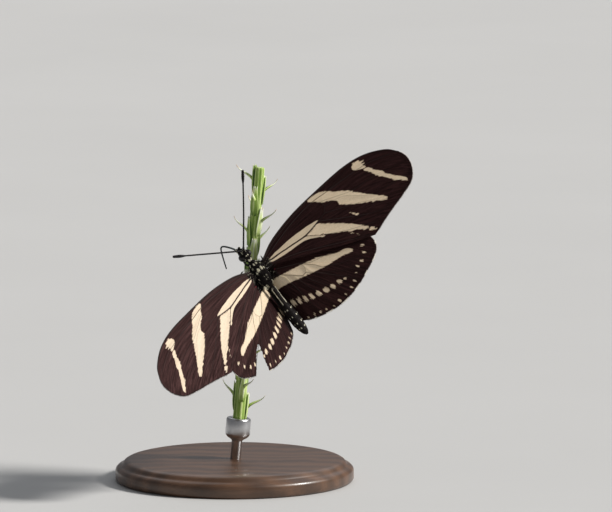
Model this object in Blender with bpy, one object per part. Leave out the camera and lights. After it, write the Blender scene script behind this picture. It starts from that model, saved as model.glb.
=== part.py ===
# Zebra longwing butterfly at life size, gripping a cut flower stem that stands on a display base.
# Built in metres, +Z up. The specimen's own frame runs across its wings, towards its head and up its back.
import math

import bmesh
import bpy
from mathutils import Euler, Matrix, Vector

MM = 0.001

# Attitude of the body: head up and to the left, back towards the viewer
BODY_ANGLES = (78.2, -36.5, 32.3)
THORAX_HEIGHT = 50.0

# Wings: hinge places, slopes of their planes and thickness
WING_THICKNESS = 0.5
WING_CLEARANCE = 0.85
FORE_HINGE = (2.3, 1.2)
FORE_SLOPES = (0.345, -0.203, -0.98)
FORE_CAMBER = 0.35
CAMBER_RIDGE = (1.5, 0.12)
CAMBER_SPAN = 8.0
HIND_HINGE = (2.2, -1.6)
HIND_SLOPES = (0.46, 0.10, -1.21)
HIND_CAMBER = 0.25
HIND_SPAN = 24.0
GUTTER_WIDTH = 6.0
GUTTER_DEPTH = 1.9
ROOF_BLEND = 0.6
WING_GRID = {"fore": (24, 6), "hind": (15, 8)}

# Each wing's four sides, from the hinge: x outwards, y towards the head
WING_SIDES = {
    "fore": {
        "costa": [(0.0, 1.1), (4.5, 3.3), (11.8, 5.0), (20.5, 5.8), (28.2, 6.1), (33.8, 5.3), (38.4, 3.2),
                  (40.6, 0.9)],
        "margin": [(24.3, -11.1), (29.3, -9.3), (35.2, -7.6), (38.8, -6.2), (40.7, -3.8), (41.2, -1.4),
                   (40.6, 0.9)],
        "inner": [(0.5, -1.2), (9.5, -5.1), (18.5, -9.0), (24.3, -11.1)],
    },
    "hind": {
        "costa": [(0.2, 1.2), (6.0, 1.9), (13.0, 0.3), (19.5, -3.2), (23.4, -7.0)],
        "margin": [(-1.0, -14.6), (1.2, -15.5), (4.3, -16.3), (8.6, -16.6), (13.5, -15.6), (18.0, -13.7),
                   (21.4, -12.0), (23.2, -9.8), (23.4, -7.0)],
        "inner": [(0.5, -0.9), (-1.2, -1.7), (-2.2, -3.2), (-2.3, -5.5), (-2.3, -8.0), (-2.15, -11.4),
                  (-1.0, -14.6)],
    },
}
# The notch torn out of the left hindwing's margin, in that wing's x and y
TEAR_MOUTH_OUTER = (19.6, -14.9)
TEAR_MOUTH_INNER = (14.2, -17.4)
TEAR_TIP = (11.7, -9.1)
TEAR_REACH = 4.0

# Body sections: place along the body, height of the middle, half width, half height
HEAD_SECTIONS = [(3.98, -1.35, 0.80, 0.86), (4.35, -1.42, 0.95, 1.05), (4.95, -1.52, 1.13, 1.32),
                 (5.65, -1.65, 1.15, 1.42), (6.30, -1.78, 1.02, 1.28), (6.85, -1.96, 0.76, 0.98),
                 (7.22, -2.12, 0.38, 0.52)]
THORAX_SECTIONS = [(3.65, -1.22, 0.86, 0.92), (3.30, -1.16, 1.14, 1.20), (2.60, -1.08, 1.52, 1.55),
                   (1.50, -1.00, 1.84, 1.86), (0.10, -0.95, 1.95, 1.95), (-1.40, -0.90, 1.84, 1.80),
                   (-2.70, -0.80, 1.46, 1.42), (-3.60, -0.68, 0.98, 0.98), (-4.02, -0.60, 0.50, 0.50)]
ABDOMEN_SECTIONS = [(-4.32, -0.60, 0.46, 0.46), (-4.85, -0.66, 0.76, 0.76), (-6.20, -0.92, 0.84, 0.84),
                    (-8.10, -1.30, 0.98, 0.96), (-10.40, -1.62, 1.20, 1.16), (-12.90, -1.80, 1.40, 1.32),
                    (-15.00, -1.78, 1.38, 1.28), (-16.70, -1.66, 1.14, 1.04), (-17.90, -1.52, 0.80, 0.72),
                    (-18.60, -1.44, 0.36, 0.34)]
BODY_SIDES = 18

EYE_CENTRE = (1.02, 5.42, -1.68)
EYE_RADII = (0.74, 0.86, 1.02)
SOCKET_GAP = 0.12

# Feelers and mouthparts, in the body's frame for the right side
FEELER_RADIUS = 0.25
CLUB_RADIUS = 0.42
CLUB_LENGTH = 2.8
ANTENNA_ROOT = (0.34, 7.05, -0.75)
ANTENNA_TIPS = {"left": (-14.8, 17.6, 0.0), "right": (12.9, 20.7, -2.0)}
ANTENNA_BOW = 0.3
ANTENNA_STEPS = 14
ANTENNA_SPACING = 0.85
CLUB_SHARE = 0.75
PROBOSCIS_STEPS = 16
PALP_PATH = [(0.32, 6.70, -3.45), (0.38, 7.22, -3.30), (0.41, 7.50, -2.85), (0.41, 7.56, -2.35)]
PALP_RADII = [0.26, 0.34, 0.32, 0.22]
PROBOSCIS_PATH = [(-0.02, 6.20, -3.55), (-0.3, 7.7, -3.95), (-1.3, 9.2, -3.75), (-2.0, 10.0, -4.2),
                  (-2.4, 9.8, -4.9), (-2.6, 8.4, -6.1), (-2.8, 6.4, -7.5), (-3.0, 4.3, -8.9)]

# Legs: root and knee in the body's frame, then where the foot lies on the stem
LEG_RADII = [0.40, 0.36, 0.28, 0.27, 0.27, 0.25, 0.25]
FORE_LEG_PATH = [(0.60, 2.75, -2.72), (0.74, 3.35, -3.02), (0.68, 4.15, -3.10), (0.56, 4.70, -3.10)]
FORE_LEG_RADII = [0.34, 0.30, 0.25, 0.22]
WALKING_LEGS = {
    "leg_mid_left": {"root": (-0.75, 0.55, -3.22), "knee": (-3.1, 1.2, -5.2), "along": -1.6, "round": -80},
    "leg_mid_right": {"root": (0.75, 0.55, -3.22), "knee": (3.0, 1.2, -4.7), "along": 2.4, "round": 74},
    "leg_hind_left": {"root": (-0.70, -1.35, -3.05), "knee": (-3.2, -3.2, -4.9), "along": -7.0, "round": -80},
    "leg_hind_right": {"root": (0.70, -1.35, -3.05), "knee": (3.3, -2.0, -4.9), "along": -1.6, "round": 86},
}
FOOT_LENGTH = 2.6
FOOT_WRAP = 42
FOOT_OFFSET = 2.75
FOOT_RISE = 0.55
ANKLE_LIFT = 0.35
THIGH_SHARE = 0.55

# Flower stem: its axis leans a little and passes behind the body
STEM_AXIS_AT_BODY = (-2.6, 6.44, -0.9)
STEM_LEAN = 4.8
STEM_ABOVE = 25.0
STEM_BELOW = 38.0
STEM_RADIUS_LOW = 1.50
STEM_RADIUS_TOP = 1.15
CALYX_LENGTH = 7.2
CALYX_WIDTH = 0.95
CALYX_RISE = 0.65
CALYX_TURN = 137.5
CALYX_START = 60
CALYX_STEP = 2.45
CALYX_TAPER = 0.35
CALYX_SINK = 0.12
CALYX_LEAN = 0.28
FIRST_CALYX = 8.2
LAST_CALYX_CLEARANCE = 5.5
BRACT_DROP = 2.4
BRACT_RISE = 5.98
BRACT_SAG = 0.9
BRACT_REACH = 3.68
BRACT_CURL = 1.5
BRACT_TIP_RADIUS = 0.25
BRACT_ROOT_EXTRA = 0.16
BRACT_STEPS = 4
GRIP_ZONE = (-10.0, 8.0)
GRIP_AROUND = 125

# Display stand
BASE_RADIUS = 28.0
BASE_HEIGHT = 5.0
BASE_BEVEL = 0.7
ROD_RADIUS = 1.25
CUP_RADIUS = 2.9
CUP_HEIGHT = 5.0
CUP_WALL_CLEARANCE = 0.3
FIT_GAP = 0.3
ROD_SEAT = 2.5
SEAT_GAP = 0.25

for old in list(bpy.data.objects):
    bpy.data.objects.remove(old)

body_turn = Euler([math.radians(a) for a in BODY_ANGLES], "XYZ").to_matrix()
body_place = Vector((0.0, 0.0, THORAX_HEIGHT))
stem_axis = Vector((math.sin(math.radians(STEM_LEAN)), 0.0, math.cos(math.radians(STEM_LEAN))))
stem_origin = body_place + Vector(STEM_AXIS_AT_BODY)
specimen = bpy.data.objects.new("specimen", None)
bpy.context.collection.objects.link(specimen)


def body_point(across, along, up):
    """Turn a place in the body's frame, in mm, into the model's frame."""
    return body_place + body_turn @ Vector((across, along, up))


def make_material(name, colour, roughness, metallic=0.0):
    material = bpy.data.materials.new(name)
    material.use_nodes = True
    shader = material.node_tree.nodes["Principled BSDF"]
    shader.inputs["Base Color"].default_value = (*colour, 1.0)
    shader.inputs["Roughness"].default_value = roughness
    shader.inputs["Metallic"].default_value = metallic
    material.diffuse_color = (*colour, 1.0)
    return material


scale_black = make_material("scale_black", (0.030, 0.018, 0.016), 0.62)
hair_black = make_material("hair_black", (0.018, 0.014, 0.013), 0.70)
eye_dark = make_material("eye_dark", (0.020, 0.012, 0.010), 0.22)
stem_green = make_material("stem_green", (0.22, 0.33, 0.10), 0.60)
walnut = make_material("walnut", (0.080, 0.040, 0.022), 0.42)
steel = make_material("steel", (0.56, 0.56, 0.57), 0.30, 1.0)


def add_object(name, mesh, material, smooth_angle=50):
    """Give a mesh in millimetres its object, in metres and with its material."""
    mesh.transform(Matrix.Scale(MM, 4))
    mesh.materials.append(material)
    mesh.shade_smooth()
    mesh.set_sharp_from_angle(angle=math.radians(smooth_angle))
    piece = bpy.data.objects.new(name, mesh)
    bpy.context.collection.objects.link(piece)
    piece.parent = specimen
    return piece


def finish_bmesh(bm, name):
    bmesh.ops.recalc_face_normals(bm, faces=bm.faces)
    mesh = bpy.data.meshes.new(name)
    bm.to_mesh(mesh)
    bm.free()
    return mesh


def loft(bm, rings):
    """Skin a row of matching rings of places, and cap both ends."""
    corners = [[bm.verts.new(place) for place in ring] for ring in rings]
    sides = len(corners[0])
    for ring, following in zip(corners, corners[1:]):
        for k in range(sides):
            m = (k + 1) % sides
            bm.faces.new((ring[k], ring[m], following[m], following[k]))
    bm.faces.new(corners[0])
    bm.faces.new(corners[-1])


def spline(points, position):
    """Place at 0 to 1 along a smooth curve through a few points."""
    spans = len(points) - 1
    span = min(int(position * spans), spans - 1)
    t = position * spans - span
    p1 = Vector(points[span])
    p2 = Vector(points[span + 1])
    p0 = Vector(points[span - 1]) if span else 2 * p1 - p2
    p3 = Vector(points[span + 2]) if span + 2 <= spans else 2 * p2 - p1
    return 0.5 * (2 * p1 + (p2 - p0) * t + (2 * p0 - 5 * p1 + 4 * p2 - p3) * t ** 2
                  + (3 * p1 - p0 - 3 * p2 + p3) * t ** 3)


def wing_outline_point(sides, u, v):
    """A place on the wing's blade, with its four sides as the edges of the patch."""
    costa = spline(sides["costa"], u)
    inner = spline(sides["inner"], u)
    margin = spline(sides["margin"], v)
    root = Vector(sides["inner"][0]).lerp(Vector(sides["costa"][0]), v)
    corners = (Vector(sides["inner"][0]).lerp(Vector(sides["inner"][-1]), u).lerp(
        Vector(sides["costa"][0]).lerp(Vector(sides["costa"][-1]), u), v))
    return inner.lerp(costa, v) + root.lerp(margin, u) - corners


def fore_height(across, along):
    return FORE_SLOPES[0] * across + FORE_SLOPES[1] * along + FORE_SLOPES[2]


def smooth_min(a, b, blend):
    h = max(blend - abs(a - b), 0.0) / blend
    return min(a, b) - h * h * blend / 4


def wing_place(kind, x, y, side):
    """Body-frame place of a wing's own x and y, on the middle of its blade."""
    slopes = FORE_SLOPES if kind == "fore" else HIND_SLOPES
    hinge = FORE_HINGE if kind == "fore" else HIND_HINGE
    normal = Vector((-slopes[0], -slopes[1], 1.0)).normalized()
    outwards = Vector((1.0, 0.0, slopes[0])).normalized()
    forwards = normal.cross(outwards)
    root = Vector((*hinge, slopes[0] * hinge[0] + slopes[1] * hinge[1] + slopes[2]))
    place = root + x * outwards + y * forwards
    if kind == "fore":
        middle = CAMBER_RIDGE[0] - CAMBER_RIDGE[1] * x
        place.z += FORE_CAMBER * max(0.0, 1 - ((y - middle) / CAMBER_SPAN) ** 2)
    else:
        place.z += HIND_CAMBER * math.sin(math.pi * min(max(x / HIND_SPAN, 0.0), 1.0))
        place.z -= GUTTER_DEPTH * max(0.0, 1 - place.x / GUTTER_WIDTH) ** 2
        roof = fore_height(place.x, place.y) - WING_CLEARANCE
        place.z = smooth_min(place.z, roof, ROOF_BLEND)
    return Vector((side * place.x, place.y, place.z))


def make_wing(name, kind, side):
    """A thin curved blade over a grid, thickened about its middle."""
    columns, rows = WING_GRID[kind]
    bm = bmesh.new()
    grid = []
    for i in range(columns + 1):
        line = []
        for j in range(rows + 1):
            flat = wing_outline_point(WING_SIDES[kind], i / columns, j / rows)
            line.append(bm.verts.new(body_point(*wing_place(kind, flat.x, flat.y, side))))
        grid.append(line)
    for i in range(columns):
        for j in range(rows):
            bm.faces.new((grid[i][j], grid[i + 1][j], grid[i + 1][j + 1], grid[i][j + 1]))
    wing = add_object(name, finish_bmesh(bm, name), scale_black)
    thickness = wing.modifiers.new("thickness", "SOLIDIFY")
    thickness.thickness = WING_THICKNESS * MM
    thickness.offset = 0.0
    return wing


def make_tear_cutter(side):
    """A three-sided prism standing through the hindwing where its margin is torn."""
    corners = [wing_place("hind", x, y, side) for x, y in (TEAR_MOUTH_OUTER, TEAR_TIP, TEAR_MOUTH_INNER)]
    bm = bmesh.new()
    loft(bm, [[body_point(c.x, c.y, c.z + lift) for c in corners] for lift in (-TEAR_REACH, TEAR_REACH)])
    return as_cutter(add_object("tear_cutter", finish_bmesh(bm, "tear_cutter"), scale_black))


def as_cutter(piece):
    piece.hide_render = True
    piece.display_type = "WIRE"
    return piece


def cut_with(piece, cutter):
    cut = piece.modifiers.new("cut", "BOOLEAN")
    cut.operation = "DIFFERENCE"
    cut.solver = "EXACT"
    cut.object = cutter


def make_sections(name, sections, material, sides=BODY_SIDES):
    """A rounded body lofted through elliptical sections, closed by a point at each end."""
    angles = [2 * math.pi * k / sides for k in range(sides)]
    bm = bmesh.new()
    loft(bm, [[body_point(half_width * math.cos(a), along, up + half_height * math.sin(a)) for a in angles]
              for along, up, half_width, half_height in sections])
    return add_object(name, finish_bmesh(bm, name), material, smooth_angle=80)


def make_ellipsoid(name, centre, radii, material, rings=8):
    bm = bmesh.new()
    bmesh.ops.create_uvsphere(bm, u_segments=2 * rings, v_segments=rings, radius=1.0)
    for vert in bm.verts:
        stretched = [c + r * v for c, r, v in zip(centre, radii, vert.co)]
        vert.co = body_point(*stretched)
    return add_object(name, finish_bmesh(bm, name), material)


def make_tube(name, path, radii, material):
    """A round rod of changing radius along a path, with closed ends."""
    curve = bpy.data.curves.new(name, "CURVE")
    curve.dimensions = "3D"
    curve.bevel_depth = MM
    curve.bevel_resolution = 2
    curve.use_fill_caps = True
    line = curve.splines.new("POLY")
    line.points.add(len(path) - 1)
    for point, place, radius in zip(line.points, path, radii):
        point.co = (*(Vector(place) * MM), 1.0)
        point.radius = radius
    curve.materials.append(material)
    tube = bpy.data.objects.new(name, curve)
    bpy.context.collection.objects.link(tube)
    tube.parent = specimen
    return tube


def stem_point(along, around, distance):
    """A place beside the stem: 0 degrees faces the body, 90 the right-hand side."""
    angle = math.radians(around)
    forwards = Vector((0.0, -1.0, 0.0))
    sideways = stem_axis.cross(forwards)
    return (stem_origin + along * stem_axis
            + distance * (math.cos(angle) * forwards + math.sin(angle) * sideways))


def make_wings():
    for side, label in ((-1, "left"), (1, "right")):
        make_wing(f"forewing_{label}", "fore", side)
        hindwing = make_wing(f"hindwing_{label}", "hind", side)
        if side < 0:
            cut_with(hindwing, make_tear_cutter(side))


def make_body():
    head = make_sections("head", HEAD_SECTIONS, hair_black)
    make_sections("thorax", THORAX_SECTIONS, hair_black)
    make_sections("abdomen", ABDOMEN_SECTIONS, hair_black)
    for side, label in ((-1, "left"), (1, "right")):
        centre = (side * EYE_CENTRE[0], EYE_CENTRE[1], EYE_CENTRE[2])
        make_ellipsoid(f"eye_{label}", centre, EYE_RADII, eye_dark)
        socket_radii = [r + SOCKET_GAP for r in EYE_RADII]
        socket = make_ellipsoid(f"socket_cutter_{label}", centre, socket_radii, hair_black)
        cut_with(head, as_cutter(socket))
        palp = [body_point(side * x, y, z) for x, y, z in PALP_PATH]
        make_tube(f"palp_{label}", palp, PALP_RADII, hair_black)


def make_feelers():
    for side, label in ((-1, "left"), (1, "right")):
        root = Vector((side * ANTENNA_ROOT[0], *ANTENNA_ROOT[1:]))
        tip = Vector(ANTENNA_TIPS[label])
        length = (tip - root).length
        path = []
        radii = []
        for i in range(ANTENNA_STEPS + 1):
            t = (i / ANTENNA_STEPS) ** ANTENNA_SPACING
            place = root.lerp(tip, t)
            place.z += ANTENNA_BOW * math.sin(math.pi * t)
            path.append(body_point(*place))
            club = max(0.0, 1 - (1 - t) * length / CLUB_LENGTH)
            swell = math.sin(math.pi * min(club, CLUB_SHARE))
            radii.append(FEELER_RADIUS + (CLUB_RADIUS - FEELER_RADIUS) * swell)
        make_tube(f"antenna_{label}", path, radii, hair_black)
    path = [body_point(*spline(PROBOSCIS_PATH, i / PROBOSCIS_STEPS)) for i in range(PROBOSCIS_STEPS + 1)]
    make_tube("proboscis", path, [FEELER_RADIUS] * len(path), hair_black)


def make_legs():
    for side, label in ((-1, "left"), (1, "right")):
        path = [body_point(side * x, y, z) for x, y, z in FORE_LEG_PATH]
        make_tube(f"leg_fore_{label}", path, FORE_LEG_RADII, hair_black)
    for name, leg in WALKING_LEGS.items():
        root = body_point(*leg["root"])
        knee = body_point(*leg["knee"])
        ankle = stem_point(leg["along"], leg["round"], FOOT_OFFSET + ANKLE_LIFT)
        path = [root, root.lerp(knee, THIGH_SHARE), knee, knee.lerp(ankle, 0.5), ankle]
        turn = math.copysign(FOOT_WRAP, leg["round"])
        for t in (0.5, 1.0):
            along = leg["along"] + FOOT_LENGTH * FOOT_RISE * t
            path.append(stem_point(along, leg["round"] + turn * t, FOOT_OFFSET))
        make_tube(name, path, LEG_RADII, hair_black)


def bract_mesh(along, around, radius):
    """The thin point of a bract, leaving the stem and curving up."""
    across = stem_axis.cross(stem_point(along, around, 1.0) - stem_point(along, around, 0.0))
    path = []
    for k in range(BRACT_STEPS + 1):
        t = k / BRACT_STEPS
        rise = BRACT_RISE * t - BRACT_DROP - BRACT_SAG * t * (1 - t)
        path.append(stem_point(along + rise, around, radius + 0.1 + BRACT_REACH * t ** BRACT_CURL))
    rings = []
    for k, place in enumerate(path):
        ahead = (path[min(k + 1, BRACT_STEPS)] - path[max(k - 1, 0)]).normalized()
        outer = across.cross(ahead)
        size = BRACT_TIP_RADIUS + BRACT_ROOT_EXTRA * (1 - k / BRACT_STEPS)
        angles = [2 * math.pi * m / 5 for m in range(5)]
        rings.append([place + size * (math.cos(a) * across + math.sin(a) * outer) for a in angles])
    bm = bmesh.new()
    loft(bm, rings)
    return finish_bmesh(bm, "bract")


def calyx_mesh(along, around, radius):
    """One flower's calyx, pressed to the stem: a narrow spindle with its point upwards."""
    bm = bmesh.new()
    bmesh.ops.create_uvsphere(bm, u_segments=6, v_segments=6, radius=1.0)
    base = stem_point(along, around, 0.0)
    outwards = stem_point(along, around, 1.0) - base
    across = stem_axis.cross(outwards)
    for vert in bm.verts:
        x, y, z = vert.co
        taper = 1 - CALYX_TAPER * z
        reach = radius - CALYX_SINK + CALYX_LEAN * z + CALYX_RISE * x * taper
        vert.co = (base + across * (y * taper * CALYX_WIDTH) + outwards * reach
                   + stem_axis * (z * CALYX_LENGTH / 2))
    return finish_bmesh(bm, "calyx")


def make_stem():
    """The cut length of flower spike: a core, its calyces in a spiral, and their thin pointed bracts."""
    bm = bmesh.new()
    bottom = stem_origin - stem_axis * STEM_BELOW
    length = STEM_ABOVE + STEM_BELOW
    turn = stem_axis.to_track_quat("Z", "Y").to_matrix().to_4x4()
    bmesh.ops.create_cone(bm, cap_ends=True, segments=16, radius1=STEM_RADIUS_LOW, radius2=STEM_RADIUS_TOP,
                          depth=length, matrix=Matrix.Translation(bottom + stem_axis * length / 2) @ turn)
    stem = add_object("perch_stem", finish_bmesh(bm, "perch_stem"), stem_green)
    parts = bpy.data.collections.new("stem_parts")
    bpy.context.scene.collection.children.link(parts)
    count = int((length - FIRST_CALYX - LAST_CALYX_CLEARANCE + CALYX_STEP) / CALYX_STEP)
    for i in range(count):
        along = -STEM_BELOW + FIRST_CALYX + CALYX_STEP * i
        around = (CALYX_TURN * i + CALYX_START) % 360 - 180
        share = (along + STEM_BELOW) / length
        radius = STEM_RADIUS_LOW + (STEM_RADIUS_TOP - STEM_RADIUS_LOW) * share
        calyx = add_object(f"calyx_{i:02d}", calyx_mesh(along, around, radius), stem_green)
        pieces = [calyx]
        faces_body = abs(around) < GRIP_AROUND and GRIP_ZONE[0] < along < GRIP_ZONE[1]
        if not faces_body:
            pieces.append(add_object(f"bract_{i:02d}", bract_mesh(along, around, radius), stem_green))
        for piece in pieces:
            bpy.context.collection.objects.unlink(piece)
            parts.objects.link(as_cutter(piece))
    union = stem.modifiers.new("union", "BOOLEAN")
    union.operation = "UNION"
    union.solver = "EXACT"
    union.operand_type = "COLLECTION"
    union.collection = parts


def lathe(name, profile, place, axis, segments):
    """Turn a closed profile of (radius, height) about an axis."""
    turn = axis.to_track_quat("Z", "Y").to_matrix()
    angles = [2 * math.pi * k / segments for k in range(segments)]
    bm = bmesh.new()
    loft(bm, [[place + turn @ Vector((radius * math.cos(a), radius * math.sin(a), height)) for a in angles]
              for radius, height in profile])
    return finish_bmesh(bm, name)


def make_stand():
    """A turned disc, and a rod in the stem's own line whose cup holds the cut end."""
    foot = stem_origin - stem_axis * STEM_BELOW
    cup_floor = foot - stem_axis * FIT_GAP
    bore = STEM_RADIUS_LOW + CUP_WALL_CLEARANCE
    seat_height = BASE_HEIGHT - ROD_SEAT
    rod_length = (cup_floor.z - seat_height - FIT_GAP) / stem_axis.z
    profile = [(ROD_RADIUS, -rod_length), (ROD_RADIUS, -1.6), (CUP_RADIUS - 0.4, -0.9), (CUP_RADIUS, -0.4),
               (CUP_RADIUS, CUP_HEIGHT - 1.4), (CUP_RADIUS - 0.3, CUP_HEIGHT - 1.1), (bore, CUP_HEIGHT - 1.1),
               (bore, 0.0)]
    add_object("stand_rod", lathe("stand_rod", profile, cup_floor, stem_axis, 24), steel, smooth_angle=35)
    rod_foot = cup_floor - stem_axis * rod_length
    centre = Vector((rod_foot.x, rod_foot.y, 0.0))
    disc_profile = [(BASE_RADIUS - BASE_BEVEL, 0.0), (BASE_RADIUS, BASE_BEVEL),
                    (BASE_RADIUS, BASE_HEIGHT - 2.4), (BASE_RADIUS - 0.5, BASE_HEIGHT - 1.6),
                    (BASE_RADIUS - 1.6, BASE_HEIGHT - 1.2), (BASE_RADIUS - 2.6, BASE_HEIGHT - 0.3),
                    (BASE_RADIUS - 3.4, BASE_HEIGHT)]
    disc = add_object("stand_base", lathe("stand_base", disc_profile, centre, Vector((0, 0, 1)), 48), walnut,
                      smooth_angle=35)
    hole_radius = ROD_RADIUS + FIT_GAP
    hole_profile = [(hole_radius, -0.2), (hole_radius, 8.0)]
    hole_floor = rod_foot - stem_axis * SEAT_GAP
    hole = add_object("seat_cutter", lathe("seat_cutter", hole_profile, hole_floor, stem_axis, 24), walnut)
    cut_with(disc, as_cutter(hole))


def centre_on_floor():
    """Put the middle of the whole specimen's box over the origin, with the stand on the floor."""
    bpy.context.view_layer.update()
    depsgraph = bpy.context.evaluated_depsgraph_get()
    corners = []
    for piece in bpy.data.objects:
        if piece.type in {"MESH", "CURVE"} and not piece.hide_render:
            seen = piece.evaluated_get(depsgraph)
            shape = seen.to_mesh()
            corners += [seen.matrix_world @ vert.co for vert in shape.vertices]
            seen.to_mesh_clear()
    middle = [(min(c[i] for c in corners) + max(c[i] for c in corners)) / 2 for i in range(2)]
    floor = min(c.z for c in corners)
    specimen.location = (-middle[0], -middle[1], -floor)


make_wings()
make_body()
make_feelers()
make_legs()
make_stem()
make_stand()
centre_on_floor()
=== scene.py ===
import math

import bpy
import numpy as np
from mathutils import Euler, Matrix, Vector


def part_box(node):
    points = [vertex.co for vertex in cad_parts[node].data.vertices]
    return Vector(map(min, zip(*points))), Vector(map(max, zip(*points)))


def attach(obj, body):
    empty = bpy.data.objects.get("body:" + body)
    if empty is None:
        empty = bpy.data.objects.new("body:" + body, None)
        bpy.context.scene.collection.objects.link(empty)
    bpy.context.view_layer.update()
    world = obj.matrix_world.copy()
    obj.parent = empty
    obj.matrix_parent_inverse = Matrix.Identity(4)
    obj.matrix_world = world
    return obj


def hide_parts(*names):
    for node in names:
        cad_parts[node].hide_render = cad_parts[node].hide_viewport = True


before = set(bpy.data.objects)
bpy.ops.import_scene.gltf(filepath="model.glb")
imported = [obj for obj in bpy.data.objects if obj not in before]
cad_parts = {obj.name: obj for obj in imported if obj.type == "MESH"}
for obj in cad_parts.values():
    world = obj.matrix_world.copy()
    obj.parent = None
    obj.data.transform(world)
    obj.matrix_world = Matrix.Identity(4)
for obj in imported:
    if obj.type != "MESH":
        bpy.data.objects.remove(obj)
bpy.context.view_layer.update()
mm = 0.001
bothSides = ((-1, "left"), (1, "right"))
goldenAngle = 2.399963
vaneCorners = 7

# Where the specimen stands. Its own frame: across its wings, towards its head, up its back (millimetres)
specimen = {
    "angles": (78.2, -36.5, 32.3),
    "height": 50.0,
    "stemBeside": (-2.6, 6.44, -0.9),
    "stemLean": 4.8,
    "stemAbove": 25.0,
    "stemBelow": 38.0,
    "rodSeat": 2.8,
}
turn = np.array(Euler([math.radians(a) for a in specimen["angles"]], "XYZ").to_matrix())
lean = math.radians(specimen["stemLean"])
stemAxis = np.array([math.sin(lean), 0.0, math.cos(lean)])


def boxCentre(node):
    low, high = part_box(node)
    return (np.array(low) + np.array(high)) / 2


# The display disc is centred under the stem's line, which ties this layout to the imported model
bodyCentre = np.array([0.0, 0.0, specimen["height"]])
stemCentre = bodyCentre + specimen["stemBeside"]
discCentre = stemCentre + stemAxis * (specimen["rodSeat"] - stemCentre[2]) / stemAxis[2]
shift = boxCentre("stand_base") / mm - discCentre
shift[2] = 0.0
bodyCentre = bodyCentre + shift
stemCentre = stemCentre + shift
discCentre = discCentre + shift


def toModel(points):
    return (np.asarray(points, float) @ turn.T + bodyCentre) * mm


# Curves and distances
def splineStep(p0, p1, p2, p3, f):
    return 0.5 * (2 * p1 + (p2 - p0) * f + (2 * p0 - 5 * p1 + 4 * p2 - p3) * f ** 2
                  + (3 * p1 - p0 - 3 * p2 + p3) * f ** 3)


def splineAt(points, t):
    points = np.asarray(points, float)
    t = np.clip(np.asarray(t, float), 0.0, 1.0)
    spans = len(points) - 1
    padded = np.vstack([2 * points[0] - points[1], points, 2 * points[-1] - points[-2]])
    span = np.minimum((t * spans).astype(int), spans - 1)
    f = (t * spans - span)[..., None]
    return splineStep(*(padded[span + k] for k in range(4)), f)


def closedCurve(points, steps):
    loop = np.asarray(points, float)
    padded = np.vstack([loop[-1:], loop, loop[:2]])
    return np.array([splineStep(*padded[k:k + 4], f)
                     for k in range(len(loop)) for f in np.arange(steps) / steps])


def unit(vectors):
    return vectors / np.linalg.norm(vectors, axis=-1, keepdims=True)


def distanceToLines(places, starts, ends):
    best = np.full(len(places), 1e9)
    for a, b in zip(starts, ends):
        ab = b - a
        t = np.clip(((places - a) @ ab) / max(ab @ ab, 1e-12), 0, 1)
        best = np.minimum(best, np.linalg.norm(places - a - t[:, None] * ab, axis=1))
    return best


def insideLoop(places, loop):
    x, y = places[:, 0], places[:, 1]
    inside = np.zeros(len(places), bool)
    for (ax, ay), (bx, by) in zip(loop, np.roll(loop, -1, axis=0)):
        crosses = (ay > y) != (by > y)
        inside ^= crosses & (x < (bx - ax) * (y - ay) / (by - ay + 1e-15) + ax)
    return inside


# How far inside (plus) or outside (minus) a closed outline each place is
def depthInside(places, loop):
    away = distanceToLines(places, loop, np.roll(loop, -1, axis=0))
    return np.where(insideLoop(places, loop), away, -away)


def smoothMin(a, b, blend):
    h = np.maximum(blend - np.abs(a - b), 0.0) / blend
    return np.minimum(a, b) - h * h * blend / 4


# Meshes
def clearSelection():
    bpy.ops.object.select_all(action="DESELECT")


def pieceFrom(name, verts, faces):
    mesh = bpy.data.meshes.new(name)
    mesh.from_pydata([tuple(v) for v in verts], [], faces)
    mesh.update()
    mesh.shade_smooth()
    piece = bpy.data.objects.new(name, mesh)
    bpy.context.scene.collection.objects.link(piece)
    return piece


# One value for each vertex, or one for all of them
def setAttribute(piece, name, values):
    layer = piece.data.attributes.new(name, "FLOAT", "POINT")
    layer.data.foreach_set("value", np.full(len(layer.data), values, np.float32))


def setMap(piece, name, perLoop):
    layer = piece.data.uv_layers.new(name=name)
    layer.data.foreach_set("uv", np.asarray(perLoop, np.float32).ravel())


def loopVertices(piece):
    index = np.empty(len(piece.data.loops), np.int32)
    piece.data.loops.foreach_get("vertex_index", index)
    return index


def finishPiece(piece, material, slotName, *nodes):
    piece.data.materials.clear()
    piece.data.materials.append(material)
    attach(piece, "root")
    if nodes:
        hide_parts(*nodes)
    return piece


# Round rods along paths, each with its own radius from end to end
def rodArrays(paths, radii, sides):
    verts, faces = [], []
    angles = 2 * math.pi * np.arange(sides) / sides
    for path, radius in zip(paths, radii):
        path = np.asarray(path, float)
        radius = np.broadcast_to(np.asarray(radius, float), len(path))
        ahead = unit(np.gradient(path, axis=0))
        side = np.eye(3)[np.argmin(np.abs(ahead[0]))]
        first = len(verts)
        for k, place in enumerate(path):
            side = unit(side - ahead[k] * (side @ ahead[k]))
            upward = np.cross(ahead[k], side)
            ring = np.cos(angles)[:, None] * side + np.sin(angles)[:, None] * upward
            verts.extend(place + radius[k] * ring)
        for k in range(len(path) - 1):
            for m in range(sides):
                n = (m + 1) % sides
                a = first + k * sides
                faces.append((a + m, a + n, a + sides + n, a + sides + m))
        faces.append(tuple(first + m for m in reversed(range(sides))))
        last = first + (len(path) - 1) * sides
        faces.append(tuple(last + m for m in range(sides)))
    return np.array(verts), faces


def joinArrays(parts):
    verts, faces, first = [], [], 0
    for places, cells in parts:
        verts.append(np.asarray(places))
        faces += [tuple(first + k for k in cell) for cell in cells]
        first += len(places)
    return np.vstack(verts), faces


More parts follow.
